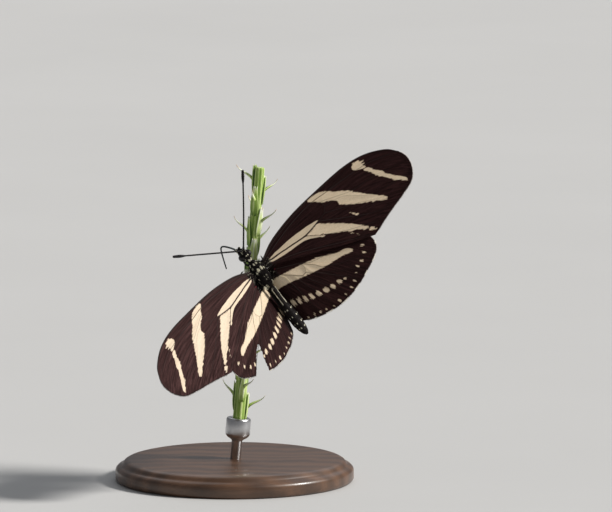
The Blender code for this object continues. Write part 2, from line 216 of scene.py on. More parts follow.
# Faces of stacked rings, closed by two end points that come after them
def tubeFaces(rings, sides):
    k, m = np.meshgrid(np.arange(rings - 1), np.arange(sides), indexing="ij")
    k, m = k.ravel(), m.ravel()
    n = (m + 1) % sides
    quads = np.stack([k * sides + m, (k + 1) * sides + m, (k + 1) * sides + n, k * sides + n], axis=1)
    last, low, high = (rings - 1) * sides, rings * sides, rings * sides + 1
    return (quads.tolist() + [(low, j, (j + 1) % sides) for j in range(sides)]
            + [(last + j, high, last + (j + 1) % sides) for j in range(sides)])


# Thin closed blades, one for each root: three corners at the root, three halfway and a tip
def vaneArrays(roots, lie, sideways, outwards, length, width, curl, thick):
    count = len(roots)
    length, width = np.broadcast_to(length, count)[:, None], np.broadcast_to(width, count)[:, None]
    curl, thick = np.broadcast_to(curl, count)[:, None], np.broadcast_to(thick, count)[:, None]
    middle = roots + lie * length * 0.5 + outwards * curl * 0.65
    tip = roots + lie * length + outwards * curl
    verts = np.stack([roots - sideways * width / 2, roots + sideways * width / 2, roots + outwards * thick,
                      middle - sideways * width * 0.42, middle + sideways * width * 0.42,
                      middle + outwards * thick, tip], axis=1).reshape(-1, 3)
    quads = np.array([(0, 1, 4, 3), (1, 2, 5, 4), (2, 0, 3, 5)])
    threes = np.array([(0, 2, 1), (3, 4, 6), (4, 5, 6), (5, 3, 6)])
    first = vaneCorners * np.arange(count)[:, None, None]
    return verts, (quads + first).reshape(-1, 4).tolist() + (threes + first).reshape(-1, 3).tolist()


# The same blades lying flat on a surface that faces along upward
def hairArrays(roots, lie, upward, length, width, curl, thick):
    flank = unit(np.cross(upward, lie))
    return vaneArrays(roots, lie, flank, np.cross(lie, flank), length, width, curl, thick)


# Hairs as a piece of the coat, each with its own small patch of the bake map
def coatPiece(name, hairs, pale, tone, home, material):
    verts, faces = hairs
    piece = pieceFrom(name, toModel(verts), faces)
    setAttribute(piece, "pale", np.repeat(pale, vaneCorners))
    setAttribute(piece, "tone", np.repeat(tone, vaneCorners))
    spots = np.array([(0, 0), (1, 0), (0.5, 0.2), (0, 0.5), (1, 0.5), (0.5, 0.6), (0.5, 1)]) * 0.003
    setMap(piece, "OFBake", (home[:, None] + spots).reshape(-1, 2)[loopVertices(piece)])
    return finishPiece(piece, material, "body_scales")


# Shader sums written as expressions
class Wire:
    def __init__(self, surface, socket):
        self.surface = surface
        self.socket = socket

    def sum(self, operation, a, b):
        return self.surface.node("ShaderNodeMath", {"operation": operation}, {0: a, 1: b})

    def __add__(self, other):
        return self.sum("ADD", self, other)

    def __radd__(self, other):
        return self.sum("ADD", other, self)

    def __sub__(self, other):
        return self.sum("SUBTRACT", self, other)

    def __rsub__(self, other):
        return self.sum("SUBTRACT", other, self)

    def __mul__(self, other):
        return self.sum("MULTIPLY", self, other)

    def step(self, low, high):
        return self.surface.node("ShaderNodeMapRange", {"interpolation_type": "SMOOTHSTEP"},
                                 {"Value": self, "From Min": low, "From Max": high})


class Surface:
    def __init__(self, name):
        self.material = bpy.data.materials.new(name)
        self.material.use_nodes = True
        self.tree = self.material.node_tree
        self.shader = self.tree.nodes["Principled BSDF"]

    def node(self, kind, settings=None, inputs=None, out=0):
        made = self.tree.nodes.new(kind)
        for key, value in (settings or {}).items():
            setattr(made, key, value)
        for key, value in (inputs or {}).items():
            self.feed(made.inputs[key], value)
        return Wire(self, made.outputs[out])

    def feed(self, socket, value):
        if isinstance(value, Wire):
            self.tree.links.new(value.socket, socket)
        elif isinstance(value, tuple) and len(value) == 3 and socket.type == "RGBA":
            socket.default_value = (*value, 1.0)
        else:
            socket.default_value = value

    def attribute(self, name):
        return self.node("ShaderNodeAttribute", {"attribute_name": name}, out="Fac")

    def mapped(self, name, scale):
        raw = self.node("ShaderNodeUVMap", {"uv_map": name})
        return self.node("ShaderNodeMapping", {}, {"Vector": raw, "Scale": scale})

    def placed(self, scale=(1.0, 1.0, 1.0)):
        raw = self.node("ShaderNodeTexCoord", out="Object")
        return self.node("ShaderNodeMapping", {}, {"Vector": raw, "Scale": scale})

    def noise(self, where, scale, detail=3.0, rough=0.55):
        return self.node("ShaderNodeTexNoise", {},
                         {"Vector": where, "Scale": scale, "Detail": detail, "Roughness": rough})

    def sheet(self, name, x, y, detail, rough=0.55):
        return self.noise(self.mapped(name, (x, y, 1.0)), 1.0, detail, rough)

    def mix(self, share, a, b):
        return self.node("ShaderNodeMix", {"data_type": "RGBA"}, {0: share, 6: a, 7: b}, out=2)

    def bump(self, height, strength, distance):
        return self.node("ShaderNodeBump", {},
                         {"Height": height, "Strength": strength, "Distance": distance})

    def finish(self, **sockets):
        for key, value in sockets.items():
            self.feed(self.shader.inputs[key.replace("_", " ")], value)
        return self.material


# Wings: each side of a blade runs from its hinge, x outwards and y towards the head (millimetres)
wing = {
    "fore": {
        "hinge": (2.3, 1.2), "slopes": (0.345, -0.203, -0.98), "columns": 230, "rows": 92,
        "reach": (41.0, 14.0),
        "bakeLow": (-2.5, -12.0), "bakeSpan": 44.5, "bakeShrink": 0.96, "bakeUnder": (0.0, 0.5),
        "costa": [(0.0, 1.1), (4.5, 3.3), (11.8, 5.0), (20.5, 5.8), (28.2, 6.1), (33.8, 5.3), (38.4, 3.2),
                  (40.6, 0.9)],
        "margin": [(24.3, -11.1), (29.3, -9.3), (35.2, -7.6), (38.8, -6.2), (40.7, -3.8), (41.2, -1.4),
                   (40.6, 0.9)],
        "inner": [(0.5, -1.2), (9.5, -5.1), (18.5, -9.0), (24.3, -11.1)],
    },
    "hind": {
        "hinge": (2.2, -1.6), "slopes": (0.46, 0.1, -1.21), "columns": 150, "rows": 140,
        "reach": (20.0, 26.0),
        "bakeLow": (-2.5, -17.5), "bakeSpan": 26.5, "bakeShrink": 0.49, "bakeUnder": (0.5, 0.0),
        "costa": [(0.2, 1.2), (6.0, 1.9), (13.0, 0.3), (19.5, -3.2), (23.4, -7.0)],
        "margin": [(-1.0, -14.6), (1.2, -15.5), (4.3, -16.3), (8.6, -16.6), (13.5, -15.6), (18.0, -13.7),
                   (21.4, -12.0), (23.2, -9.8), (23.4, -7.0)],
        "inner": [(0.5, -0.9), (-1.2, -1.7), (-2.2, -3.2), (-2.3, -5.5), (-2.3, -8.0), (-2.15, -11.4),
                  (-1.0, -14.6)],
    },
    "foreCamber": 0.35,
    "hindCamber": 0.25,
    "gutter": (6.0, 1.9),
    "clearance": 0.85,
    "skinHalf": 0.045,
    "edgeHalf": 0.02,
    "sag": 0.13,
    "rootReach": 1.5,
    "veinShare": 0.88,
    "tear": [(19.2, -15.2), (17.9, -13.5), (15.8, -11.7), (13.6, -9.9), (11.8, -8.95), (11.6, -9.5),
             (12.1, -11.0), (12.9, -12.7), (13.3, -13.9), (13.65, -15.2), (14.1, -17.6), (17.5, -18.6)],
}

# Pale bands and spots of each wing, and its veins with their radius at root and tip
bands = {
    "fore": [
        [(29.5, 4.35), (30.3, 5.25), (31.1, 5.2), (32.0, 5.1), (32.1, 4.65), (33.0, 4.35), (32.1, 4.1),
         (32.8, 3.65), (32.1, 3.5), (32.5, 3.0), (31.9, 2.75), (31.2, 3.05), (30.2, 3.6)],
        [(31.4, 2.55), (32.1, 2.75), (32.8, 2.25), (33.2, 1.55), (33.85, 0.6), (34.75, -0.35), (34.9, -1.0),
         (35.9, -2.35), (36.5, -3.05), (37.65, -4.2), (38.2, -5.2), (38.0, -5.8), (36.55, -4.6),
         (35.35, -3.35), (34.5, -2.05), (33.4, -0.8), (32.7, 0.3), (32.5, 1.1), (32.0, 1.8)],
        [(16.7, 5.2), (18.9, 5.25), (20.6, 4.7), (21.5, 4.2), (22.8, 3.0), (24.4, 2.0), (25.6, 1.15),
         (26.5, 0.0), (27.5, -1.0), (28.4, -2.15), (29.8, -3.5), (30.8, -4.5), (31.9, -5.6), (31.7, -6.1),
         (30.6, -5.7), (29.35, -4.95), (28.3, -4.45), (26.4, -3.25), (24.7, -2.25), (23.2, -1.2),
         (22.0, -0.1),
         (22.0, 0.8), (21.2, 1.7), (20.0, 2.25), (18.7, 3.0), (17.9, 3.9), (17.1, 4.3)],
        [(0.6, 0.0), (3.0, 0.42), (6.8, 0.74), (9.7, 0.7), (12.3, 0.64), (14.2, 0.44), (15.8, 0.03),
         (15.1, -0.23),
         (13.5, -0.52), (11.2, -0.8), (9.1, -0.7), (6.4, -0.44), (4.0, -0.24), (2.4, -0.14)],
        [(0.3, -0.42), (1.3, -0.44), (3.4, -0.49), (6.3, -0.72), (9.3, -1.0), (11.2, -1.15), (12.2, -1.75),
         (13.5, -2.65), (14.9, -3.7), (14.5, -3.8), (14.0, -3.5), (12.5, -2.6), (10.5, -1.75), (8.4, -1.55),
         (5.8, -1.42), (3.4, -1.18), (1.6, -0.88)],
        [(11.5, -1.15), (13.5, -0.82), (15.2, -0.5), (16.3, -1.35), (17.7, -2.4), (19.4, -3.8),
         (21.1, -5.2),
         (22.7, -6.8), (24.3, -8.6), (23.4, -8.6), (21.8, -7.6), (19.5, -6.25), (17.5, -5.0), (15.4, -3.72),
         (13.5, -2.5), (12.4, -1.8)],
        [(23.9, -9.55), (24.3, -9.15), (24.8, -9.05), (25.5, -10.05), (24.9, -9.95)],
    ],
    "hind": [
        [(-1.6, -2.2), (0.1, -1.8), (3.0, -2.3), (5.6, -2.8), (8.1, -3.35), (10.3, -3.9), (12.1, -4.7),
         (13.7, -5.5), (15.5, -6.2), (16.9, -6.4), (18.0, -7.2), (18.1, -7.9), (17.3, -8.0), (16.0, -7.6),
         (14.0, -7.25), (11.2, -6.95), (9.0, -6.6), (6.6, -6.0), (4.1, -5.4), (2.5, -4.95), (0.2, -4.6),
         (-1.7, -4.6)],
    ],
}
# Ovals: place, half length, half width, direction of the length in degrees
ovals = {
    "fore": [(20.6, -7.6, 0.8, 0.15, -52)],
    "hind": [(-1.6, -9.35, 0.94, 0.3, -95), (-0.3, -9.5, 0.9, 0.36, -93), (0.95, -9.9, 0.88, 0.38, -91),
             (2.2, -10.35, 0.86, 0.4, -89), (3.65, -10.8, 0.82, 0.46, -84), (5.35, -11.2, 0.78, 0.54, -78),
             (7.2, -11.65, 0.76, 0.56, -70), (9.0, -11.95, 0.72, 0.54, -64), (10.9, -12.0, 0.66, 0.52, -57),
             (12.4, -12.15, 0.42, 0.34, -50),
             (0.2, -14.55, 0.3, 0.18, -92), (1.7, -14.75, 0.3, 0.19, -90), (3.05, -15.2, 0.3, 0.2, -86),
             (4.5, -15.6, 0.32, 0.2, -82), (6.4, -15.95, 0.34, 0.21, -77), (8.2, -15.8, 0.34, 0.21, -71),
             (10.1, -15.4, 0.34, 0.22, -65), (12.3, -14.85, 0.34, 0.22, -58), (13.8, -14.1, 0.32, 0.2, -54),
             (15.3, -12.8, 0.32, 0.21, -48), (16.5, -11.75, 0.36, 0.24, -44), (18.0, -11.2, 0.4, 0.26, -40),
             (19.7, -9.9, 0.4, 0.26, -35), (20.6, -8.3, 0.38, 0.24, -30)],
}
rightOnly = {"fore": [(23.45, -4.1, 0.75, 0.2, -47)], "hind": []}
# Crimson flecks at the wing roots: small ones above, larger ones underneath
crimson = {
    "fore": [[(1.3, -0.9, 0.12, 0.08, 20)], [(1.3, 0.9, 0.55, 0.3, 20)]],
    "hind": [[(1.15, 0.05, 0.26, 0.15, 10), (-0.9, -1.2, 0.2, 0.14, 20)],
             [(1.5, 0.3, 0.5, 0.3, 10), (1.2, -0.8, 0.45, 0.28, -20), (2.6, -0.3, 0.4, 0.26, -10)]],
}
veins = {
    "fore": {
        "subcosta": ([(0.0, 0.8), (4.0, 2.5), (8.0, 3.6), (15.5, 5.0), (22.0, 5.5)], 0.15, 0.07),
        "radius": ([(0.0, 0.4), (4.1, 1.75), (8.2, 2.85), (12.6, 3.75), (17.0, 4.2), (22.0, 3.95),
                    (28.0, 3.7),
                    (33.0, 3.2), (36.0, 2.4), (40.0, 1.3)], 0.15, 0.06),
        "radialFork": ([(22.0, 3.95), (27.0, 4.8), (31.5, 5.6)], 0.07, 0.05),
        "cubitus": ([(0.0, -0.2), (4.0, -0.38), (9.2, -0.85), (11.4, -1.0), (15.7, -0.18)], 0.13, 0.1),
        "cellEnd": ([(19.2, 3.0), (19.0, 1.6), (18.0, 0.4), (15.7, -0.18)], 0.07, 0.07),
        "media1": ([(19.2, 3.0), (25.9, 0.55), (33.0, -0.1), (40.9, -2.0)], 0.08, 0.05),
        "media2": ([(19.0, 1.6), (23.9, 0.74), (29.6, -3.3), (34.5, -3.9), (39.7, -5.2)], 0.08, 0.05),
        "media3": ([(18.0, 0.4), (25.9, -2.74), (29.5, -4.6), (36.4, -7.1)], 0.08, 0.05),
        "cubitus1": ([(15.7, -0.18), (22.0, -3.9), (27.0, -6.6), (32.5, -8.2)], 0.1, 0.05),
        "cubitus2": ([(11.3, -1.0), (13.9, -3.05), (20.0, -6.2), (28.4, -9.6)], 0.11, 0.05),
        "anal": ([(0.3, -0.7), (8.0, -3.3), (17.0, -7.5), (24.6, -10.9)], 0.12, 0.06),
    },
    "hind": {
        "subcosta": ([(0.5, 0.6), (6.0, 0.9), (13.0, -0.7), (21.0, -4.4)], 0.12, 0.06),
        "sector": ([(1.2, 0.0), (6.4, -2.45), (8.95, -4.0), (15.0, -5.4), (23.2, -8.2)], 0.12, 0.05),
        "media1": ([(6.4, -2.45), (8.95, -4.97), (9.93, -6.42), (14.0, -8.6), (22.7, -11.0)], 0.12, 0.05),
        "media2": ([(6.75, -3.5), (7.6, -6.3), (12.5, -9.8), (18.9, -13.3)], 0.08, 0.05),
        "media3": ([(6.2, -5.1), (7.87, -6.42), (11.6, -10.6), (15.4, -14.8)], 0.12, 0.05),
        "cubitus1": ([(5.2, -5.3), (6.4, -8.0), (8.4, -11.2), (11.4, -16.1)], 0.09, 0.05),
        "cubitus2": ([(3.4, -3.9), (4.2, -7.0), (5.4, -11.0), (6.9, -16.5)], 0.09, 0.05),
        "anal2": ([(0.9, -1.6), (1.75, -3.0), (1.95, -4.6), (2.4, -9.0), (2.8, -15.7)], 0.16, 0.05),
        "anal3": ([(0.2, -1.6), (0.5, -3.0), (0.8, -4.6), (0.4, -9.0), (0.3, -15.0)], 0.07, 0.05),
        "cellLow": ([(0.9, -1.6), (1.79, -2.26), (5.1, -5.3), (6.2, -5.1)], 0.12, 0.11),
        "cellEnd": ([(6.4, -2.45), (6.75, -3.5), (6.7, -4.1), (6.2, -5.1)], 0.09, 0.09),
    },
}
# Veins that turn at corners, the pale bands whose edges stay clean, and how dark a vein stays on a band
angular = ("cubitus", "cubitus2", "cellLow", "cellEnd", "media1", "media3")
cleanBands = {"fore": (3, 4), "hind": ()}
inkOnPale = {
    "fore": {"subcosta": 0.7, "radius": 0.85, "cubitus": 1.0, "cubitus1": 0.5, "cubitus2": 0.75,
             "media1": 0.7,
             "media2": 0.6, "media3": 0.6, "anal": 0.2, "cellEnd": 0.6, "radialFork": 0.8},
    "hind": {"cellLow": 0.75, "cellEnd": 0.55, "media1": 0.7, "cubitus2": 0.3, "anal2": 0.0,
             "cubitus1": 0.5,
             "media3": 0.6, "media2": 0.3, "sector": 0.7, "subcosta": 0.3, "anal3": 0.35},
}


def foreHeight(across, along):
    slopes = wing["fore"]["slopes"]
    return slopes[0] * across + slopes[1] * along + slopes[2]


# A place on a wing, from its own x and y and how far it stands off the middle of the blade
def wingPlace(kind, flat, lift, side):
    slopes, hinge = wing[kind]["slopes"], wing[kind]["hinge"]
    normal = unit(np.array([-slopes[0], -slopes[1], 1.0]))
    outwards = unit(np.array([1.0, 0.0, slopes[0]]))
    forwards = np.cross(normal, outwards)
    root = np.array([*hinge, slopes[0] * hinge[0] + slopes[1] * hinge[1] + slopes[2]])
    x, y = flat[..., 0], flat[..., 1]
    place = root + x[..., None] * outwards + y[..., None] * forwards
    if kind == "fore":
        place[..., 2] += wing["foreCamber"] * np.maximum(0.0, 1 - ((y - 1.5 + 0.12 * x) / 8.0) ** 2)
    else:
        width, depth = wing["gutter"]
        place[..., 2] += wing["hindCamber"] * np.sin(math.pi * np.clip(x / 24.0, 0.0, 1.0))
        place[..., 2] -= depth * np.maximum(0.0, 1 - place[..., 0] / width) ** 2
        roof = foreHeight(place[..., 0], place[..., 1]) - wing["clearance"]
        place[..., 2] = smoothMin(place[..., 2], roof, 0.6)
    place = place + np.asarray(lift)[..., None] * normal
    place[..., 0] *= side
    return place


# The blade's own x and y, and its distances out along the cells and across them
def bladeGrid(kind):
    shape = wing[kind]
    u = np.linspace(0, 1, shape["columns"] + 1)
    v = np.linspace(0, 1, shape["rows"] + 1)
    costa, inner = splineAt(shape["costa"], u), splineAt(shape["inner"], u)
    margin = splineAt(shape["margin"], v)
    root = inner[0] * (1 - v[:, None]) + costa[0] * v[:, None]
    across, up = u[:, None, None], v[None, :, None]
    corners = ((inner[0] * (1 - across) + inner[-1] * across) * (1 - up)
               + (costa[0] * (1 - across) + costa[-1] * across) * up)
    grid = (inner[:, None] * (1 - up) + costa[:, None] * up
            + root[None] * (1 - across) + margin[None] * across - corners)
    extra = []
    inwards = np.linspace(1, 0, 9)[:-1]
    for share in inwards:
        line = grid[0].mean(0) + (grid[0] - grid[0].mean(0)) * (1 - 0.3 * share)
        extra.append(line + np.array([-wing["rootReach"] * share, 0.0]))
    out = np.concatenate([-wing["rootReach"] * inwards, u * shape["reach"][0]])
    strand = np.stack(np.meshgrid(out, v * shape["reach"][1], indexing="ij"), axis=-1)
    return np.concatenate([np.array(extra), grid]), strand.reshape(-1, 2)


def veinLines(kind):
    lines = {}
    for name, (points, thick, thin) in veins[kind].items():
        t = np.linspace(0, 1, 12 * (len(points) - 1) + 1)
        path = splineAt(points, t)
        if name in angular:
            corners = np.linspace(0, 1, len(points))
            path = np.stack([np.interp(t, corners, np.array(points)[:, k]) for k in (0, 1)], axis=1)
        lines[name] = (path, (thick + (thin - thick) * t) * wing["veinShare"])
    return lines


def lineDistance(places, path):
    return distanceToLines(places, path[:-1], path[1:])


def ovalDepth(places, x, y, halfLength, halfWidth, degrees):
    a = math.radians(degrees)
    d = places - np.array([x, y])
    along = (d[:, 0] * math.cos(a) + d[:, 1] * math.sin(a)) / halfLength
    across = (-d[:, 0] * math.sin(a) + d[:, 1] * math.cos(a)) / halfWidth
    return (1 - (np.abs(along) ** 3 + np.abs(across) ** 3) ** (1 / 3)) * halfWidth


def paleDepth(kind, places, side):
    depth = np.full(len(places), -9.0)
    for number, loop in enumerate(bands[kind]):
        loop = closedCurve(loop, 3)
        near = np.all((places > loop.min(0) - 1.5) & (places < loop.max(0) + 1.5), axis=1)
        firmness = 2.5 if number in cleanBands[kind] else 1.0
        depth[near] = np.maximum(depth[near], depthInside(places[near], loop) * firmness)
    for oval in ovals[kind] + (rightOnly[kind] if side > 0 else []):
        depth = np.maximum(depth, ovalDepth(places, *oval))
    return np.clip(depth, -1.0, 1.0)


def redDepth(kind, places, under):
    return np.clip(np.max([ovalDepth(places, *oval) for oval in crimson[kind][under]], axis=0), -1.0, 1.0)


def raggedLoop(loop, seed):
    draw = np.random.default_rng(seed)
    loop = np.asarray(loop, float)
    out = []
    for a, b in zip(loop, np.roll(loop, -1, axis=0)):
        for t in np.arange(0, 1, 0.2):
            out.append(a + (b - a) * t + draw.normal(0, 0.07, 2))
    return np.array(out)


tornEdge = raggedLoop(wing["tear"], 5)


def distanceToTear(places):
    return distanceToLines(places, tornEdge, np.roll(tornEdge, -1, axis=0))


# The upper side's map and the underside's stand one above the other, or beside each other
def bakeLayout(kind, flat):
    shape = wing[kind]
    moved = (flat - shape["bakeLow"]) / shape["bakeSpan"] * shape["bakeShrink"] + 0.01
    return np.concatenate([moved, moved + shape["bakeUnder"]])


def makeBlade(kind, side, label, material, lines):
    grid, strand = bladeGrid(kind)
    columns, rows = grid.shape[0] - 1, grid.shape[1] - 1
    flat = grid.reshape(-1, 2)
    torn = kind == "hind" and side < 0
    kept = np.ones((columns, rows), bool)
    if torn:
        depth = depthInside(flat, tornEdge)
        close = (depth > 0) & (depth < 0.12)
        ab = np.roll(tornEdge, -1, axis=0) - tornEdge
        for k in np.flatnonzero(close):
            share = np.einsum("ij,ij->i", flat[k] - tornEdge, ab) / np.einsum("ij,ij->i", ab, ab)
            spots = tornEdge + np.clip(share, 0, 1)[:, None] * ab
            flat[k] = spots[np.argmin(np.linalg.norm(spots - flat[k], axis=1))]
        gone = ((depth > 0) & ~close).reshape(columns + 1, rows + 1)
        kept = ~(gone[:-1, :-1] | gone[1:, :-1] | gone[1:, 1:] | gone[:-1, 1:])
    outline = np.vstack([grid[:, 0], grid[-1, 1:], grid[::-1, -1][1:], grid[0, ::-1][1:-1]])
    toEdge = distanceToLines(flat, outline, np.roll(outline, -1, axis=0))
    if torn:
        toEdge = np.minimum(toEdge, distanceToTear(flat))
    toVein = np.full(len(flat), 9.0)
    ink = np.zeros(len(flat))
    for name, (path, radii) in lines.items():
        away = lineDistance(flat, path)
        toVein = np.minimum(toVein, away)
        if name == "cubitus":
            ink = np.exp(-(away / 0.13) ** 2)
    half = wing["edgeHalf"] + (wing["skinHalf"] - wing["edgeHalf"]) * np.clip(toEdge / 0.35, 0, 1)
    sag = -wing["sag"] * (1 - np.exp(-(toVein / 0.75) ** 2)) * np.clip(toEdge / 0.8, 0, 1)
    count = len(flat)
    top = wingPlace(kind, flat, sag + half, side)
    under = wingPlace(kind, flat, sag - half, side)
    index = np.arange(count).reshape(columns + 1, rows + 1)
    a, b, c, d = index[:-1, :-1], index[1:, :-1], index[1:, 1:], index[:-1, 1:]
    cells = np.stack([a, b, c, d], axis=-1)[kept]
    faces = np.concatenate([cells, cells[:, ::-1] + count])
    edges = {}
    for cell in cells.tolist():
        for p, q in zip(cell, cell[1:] + cell[:1]):
            edges[(p, q)] = True
    walls = [(q, p, p + count, q + count) for p, q in edges if (q, p) not in edges]
    faces = np.concatenate([faces, np.array(walls)])
    if side < 0:
        faces = faces[:, ::-1]
    used = np.unique(faces)
    fresh = np.full(2 * count, -1)
    fresh[used] = np.arange(len(used))
    both = np.concatenate([top, under])[used]
    piece = pieceFrom(f"{kind}wing_{label}_blade", toModel(both), fresh[faces].tolist())
    twice = lambda values: np.concatenate([values, values])[used]
    setAttribute(piece, "pale", twice(paleDepth(kind, flat, side)))
    setAttribute(piece, "red", np.concatenate([redDepth(kind, flat, 0), redDepth(kind, flat, 1)])[used])
    setAttribute(piece, "ink", twice(ink))
    setAttribute(piece, "rim", twice(np.clip(toEdge, 0, 3)))
    setAttribute(piece, "fold", twice(np.clip(toVein, 0, 3)))
    setAttribute(piece, "under", np.repeat([0.0, 1.0], count)[used])
    corner = loopVertices(piece)
    setMap(piece, "lay", np.concatenate([flat, flat])[used][corner])
    setMap(piece, "strand", np.concatenate([strand, strand])[used][corner])
    setMap(piece, "OFBake", bakeLayout(kind, flat)[used][corner])
    return finishPiece(piece, material, "wing_scales", f"{kind}wing_{label}")


def makeVeins(kind, side, label, material, lines):
    paths, radii, marks = [], [], []
    strong = dict(lines)
    t = np.linspace(0, 1, 90)
    strong["costa"] = (splineAt(wing[kind]["costa"], t) - np.array([0.0, 0.16]), 0.2 - 0.1 * t)
    for name, (path, thickness) in strong.items():
        if kind == "hind" and side < 0:
            keep = depthInside(path, tornEdge) < 0.0
            path, thickness = path[keep], thickness[keep]
        if len(path) < 4:
            continue
        t, coarse = np.linspace(0, 1, 2 * len(path)), np.linspace(0, 1, len(path))
        fine = np.stack([np.interp(t, coarse, path[:, k]) for k in (0, 1)], axis=1)
        paths.append(toModel(wingPlace(kind, fine, np.zeros(len(fine)), side)))
        radii.append(np.interp(t, coarse, thickness) * mm)
        marks.append((fine, inkOnPale[kind].get(name, 0.0)))
    sides = 6
    piece = pieceFrom(f"{kind}wing_{label}_veins", *rodArrays(paths, radii, sides))
    flat = np.concatenate([np.repeat(fine, sides, axis=0) for fine, dark in marks])
    dark = np.concatenate([np.full(sides * len(fine), dark) for fine, dark in marks])
    setAttribute(piece, "pale", paleDepth(kind, flat, side))
    setAttribute(piece, "ink", dark)
    setMap(piece, "lay", flat[loopVertices(piece)])
    return finishPiece(piece, material, "wing_scales")


fringe = {
    "count": 420, "seed": 31, "reach": (0.28, 0.46), "taper": 0.06, "sunk": 0.08, "fan": 0.12,
    "width": 0.13, "curl": 0.03, "thick": 0.025, "fromTear": 0.1, "paleFromVein": 1.1,
}


def makeFringe(kind, side, label, material, lines):
    t = np.linspace(0, 1, fringe["count"])
    rim = splineAt(wing[kind]["margin"], t)
    tangent = unit(np.gradient(rim, axis=0))
    outward = np.stack([tangent[:, 1], -tangent[:, 0]], axis=1)
    if kind == "hind" and side < 0:
        keep = depthInside(rim, tornEdge) < -fringe["fromTear"]
        rim, tangent, outward, t = rim[keep], tangent[keep], outward[keep], t[keep]
    draw = np.random.default_rng(fringe["seed"])
    count = len(rim)
    reach = draw.uniform(*fringe["reach"], count) * np.clip(np.minimum(t, 1 - t) / fringe["taper"], 0.2, 1)
    away = np.min([lineDistance(rim, path) for path, radii in lines.values()], axis=0)
    flat = np.zeros(count)
    here = wingPlace(kind, rim, flat, side)
    base = wingPlace(kind, rim - outward * fringe["sunk"], flat, side)
    ahead = wingPlace(kind, rim + outward, flat, side) - here
    beside = wingPlace(kind, rim + tangent, flat, side) - here
    ahead += beside * draw.normal(0, fringe["fan"], count)[:, None]
    ahead, beside, up = unit(ahead), unit(beside), unit(np.cross(ahead, beside))
    curl = draw.normal(0, fringe["curl"], count)
    verts, faces = vaneArrays(base, ahead, beside, up, reach, fringe["width"], curl, fringe["thick"])
    piece = pieceFrom(f"{kind}wing_{label}_fringe", toModel(verts), faces)
    mark = np.where((away > fringe["paleFromVein"]) & (kind == "hind"), 0.06, -0.5)
    setAttribute(piece, "pale", np.repeat(mark, vaneCorners))
    setAttribute(piece, "tip", np.tile([0.0, 0.0, 0.0, 0.5, 0.5, 0.5, 1.0], count))
    return finishPiece(piece, material, "wing_scales")


def wingMaterial():
    s = Surface("wing_scales")
    scale = {"Vector": s.mapped("lay", (7.0, 15.0, 1.0)), "Scale": 1.0}
    cells, cellTone = (s.node("ShaderNodeTexVoronoi", {"feature": "F1"}, scale, out=k) for k in (0, 1))
    tone = s.node("ShaderNodeSeparateColor", {}, {"Color": cellTone}, out=0)
    comb, teeth = s.sheet("strand", 0.45, 3.4, 2.0), s.sheet("strand", 1.1, 13.0, 2.0)
    streaks, rays = s.sheet("strand", 0.13, 4.2, 4.0, 0.6), s.sheet("strand", 0.22, 11.0, 3.0, 0.6)
    dusting, specks = s.sheet("lay", 1.6, 1.6, 4.0, 0.65), s.sheet("lay", 9.0, 9.0, 2.0)
    ink, under, fold = s.attribute("ink"), s.attribute("under"), s.attribute("fold")
    edge = s.attribute("pale") + (comb - 0.5) * 0.9 + (teeth - 0.5) * 0.4
    paleShare = edge.step(-0.05, 0.05) * (1 - ink * 0.95)
    ground = s.mix(streaks.step(0.4, 0.6), (0.0028, 0.0012, 0.0014), (0.021, 0.0082, 0.008))
    ground = s.mix(rays.step(0.5, 0.7) * 0.6, ground, (0.042, 0.02, 0.022))
    ground = s.mix(specks.step(0.58, 0.72) * 0.6, ground, (0.1, 0.06, 0.056))
    ground = s.mix(fold.step(0.1, 0.45), s.mix(0.5, ground, (0.004, 0.002, 0.002)), ground)
    ground = s.mix(under * 0.75, ground, (0.06, 0.036, 0.027))
    cream = s.mix(dusting, (0.67, 0.525, 0.345), (0.8, 0.68, 0.5))
    cream = s.mix(streaks.step(0.52, 0.7) * 0.45, cream, (0.62, 0.42, 0.25))
    cream = s.mix(edge.step(0.0, 0.22), s.mix(0.45, cream, (0.4, 0.26, 0.15)), cream)
    # Underside cream is paler: partly its own paler tone, partly painted light that lifts the underside,
    # which gets only bounce light
    cream = s.mix(under * 0.75, cream, (0.84, 0.75, 0.56))
    pattern = s.mix(paleShare, ground, cream)
    red = (s.attribute("red") + (teeth - 0.5) * 0.2).step(-0.04, 0.04)
    pattern = s.mix(red, pattern, (0.2, 0.016, 0.03))
    pattern = s.mix(0.22, pattern, s.mix(tone, (0.0, 0.0, 0.0), pattern))
    height = cells * -0.6 + rays * 0.8 + streaks * 0.6
    rough = 0.65 - streaks.step(0.4, 0.62) * 0.15 - rays.step(0.4, 0.7) * 0.08
    return s.finish(Base_Color=pattern, Roughness=rough,
                    Specular_IOR_Level=0.12, Specular_Tint=(1.0, 0.46, 0.43, 1.0),
                    Coat_Weight=paleShare * (1 - under), Coat_Roughness=0.6, Coat_IOR=1.55,
                    Normal=s.bump(height, 0.35, 0.00006))


def veinMaterial():
    s = Surface("wing_veins")
    grain = s.sheet("lay", 4.0, 9.0, 3.0)
    onPale = (s.attribute("pale") + (grain - 0.5) * 0.3).step(-0.05, 0.05)
    cream = s.mix(grain, (0.74, 0.6, 0.38), (0.88, 0.78, 0.56))
    across = s.mix(s.attribute("ink"), cream, (0.055, 0.026, 0.016))
    dark = s.mix(grain, (0.01, 0.006, 0.006), (0.04, 0.024, 0.022))
    return s.finish(Base_Color=s.mix(onPale, dark, across), Roughness=0.6 + grain * 0.2,
                    Specular_IOR_Level=0.15, Normal=s.bump(grain, 0.4, 0.00003))


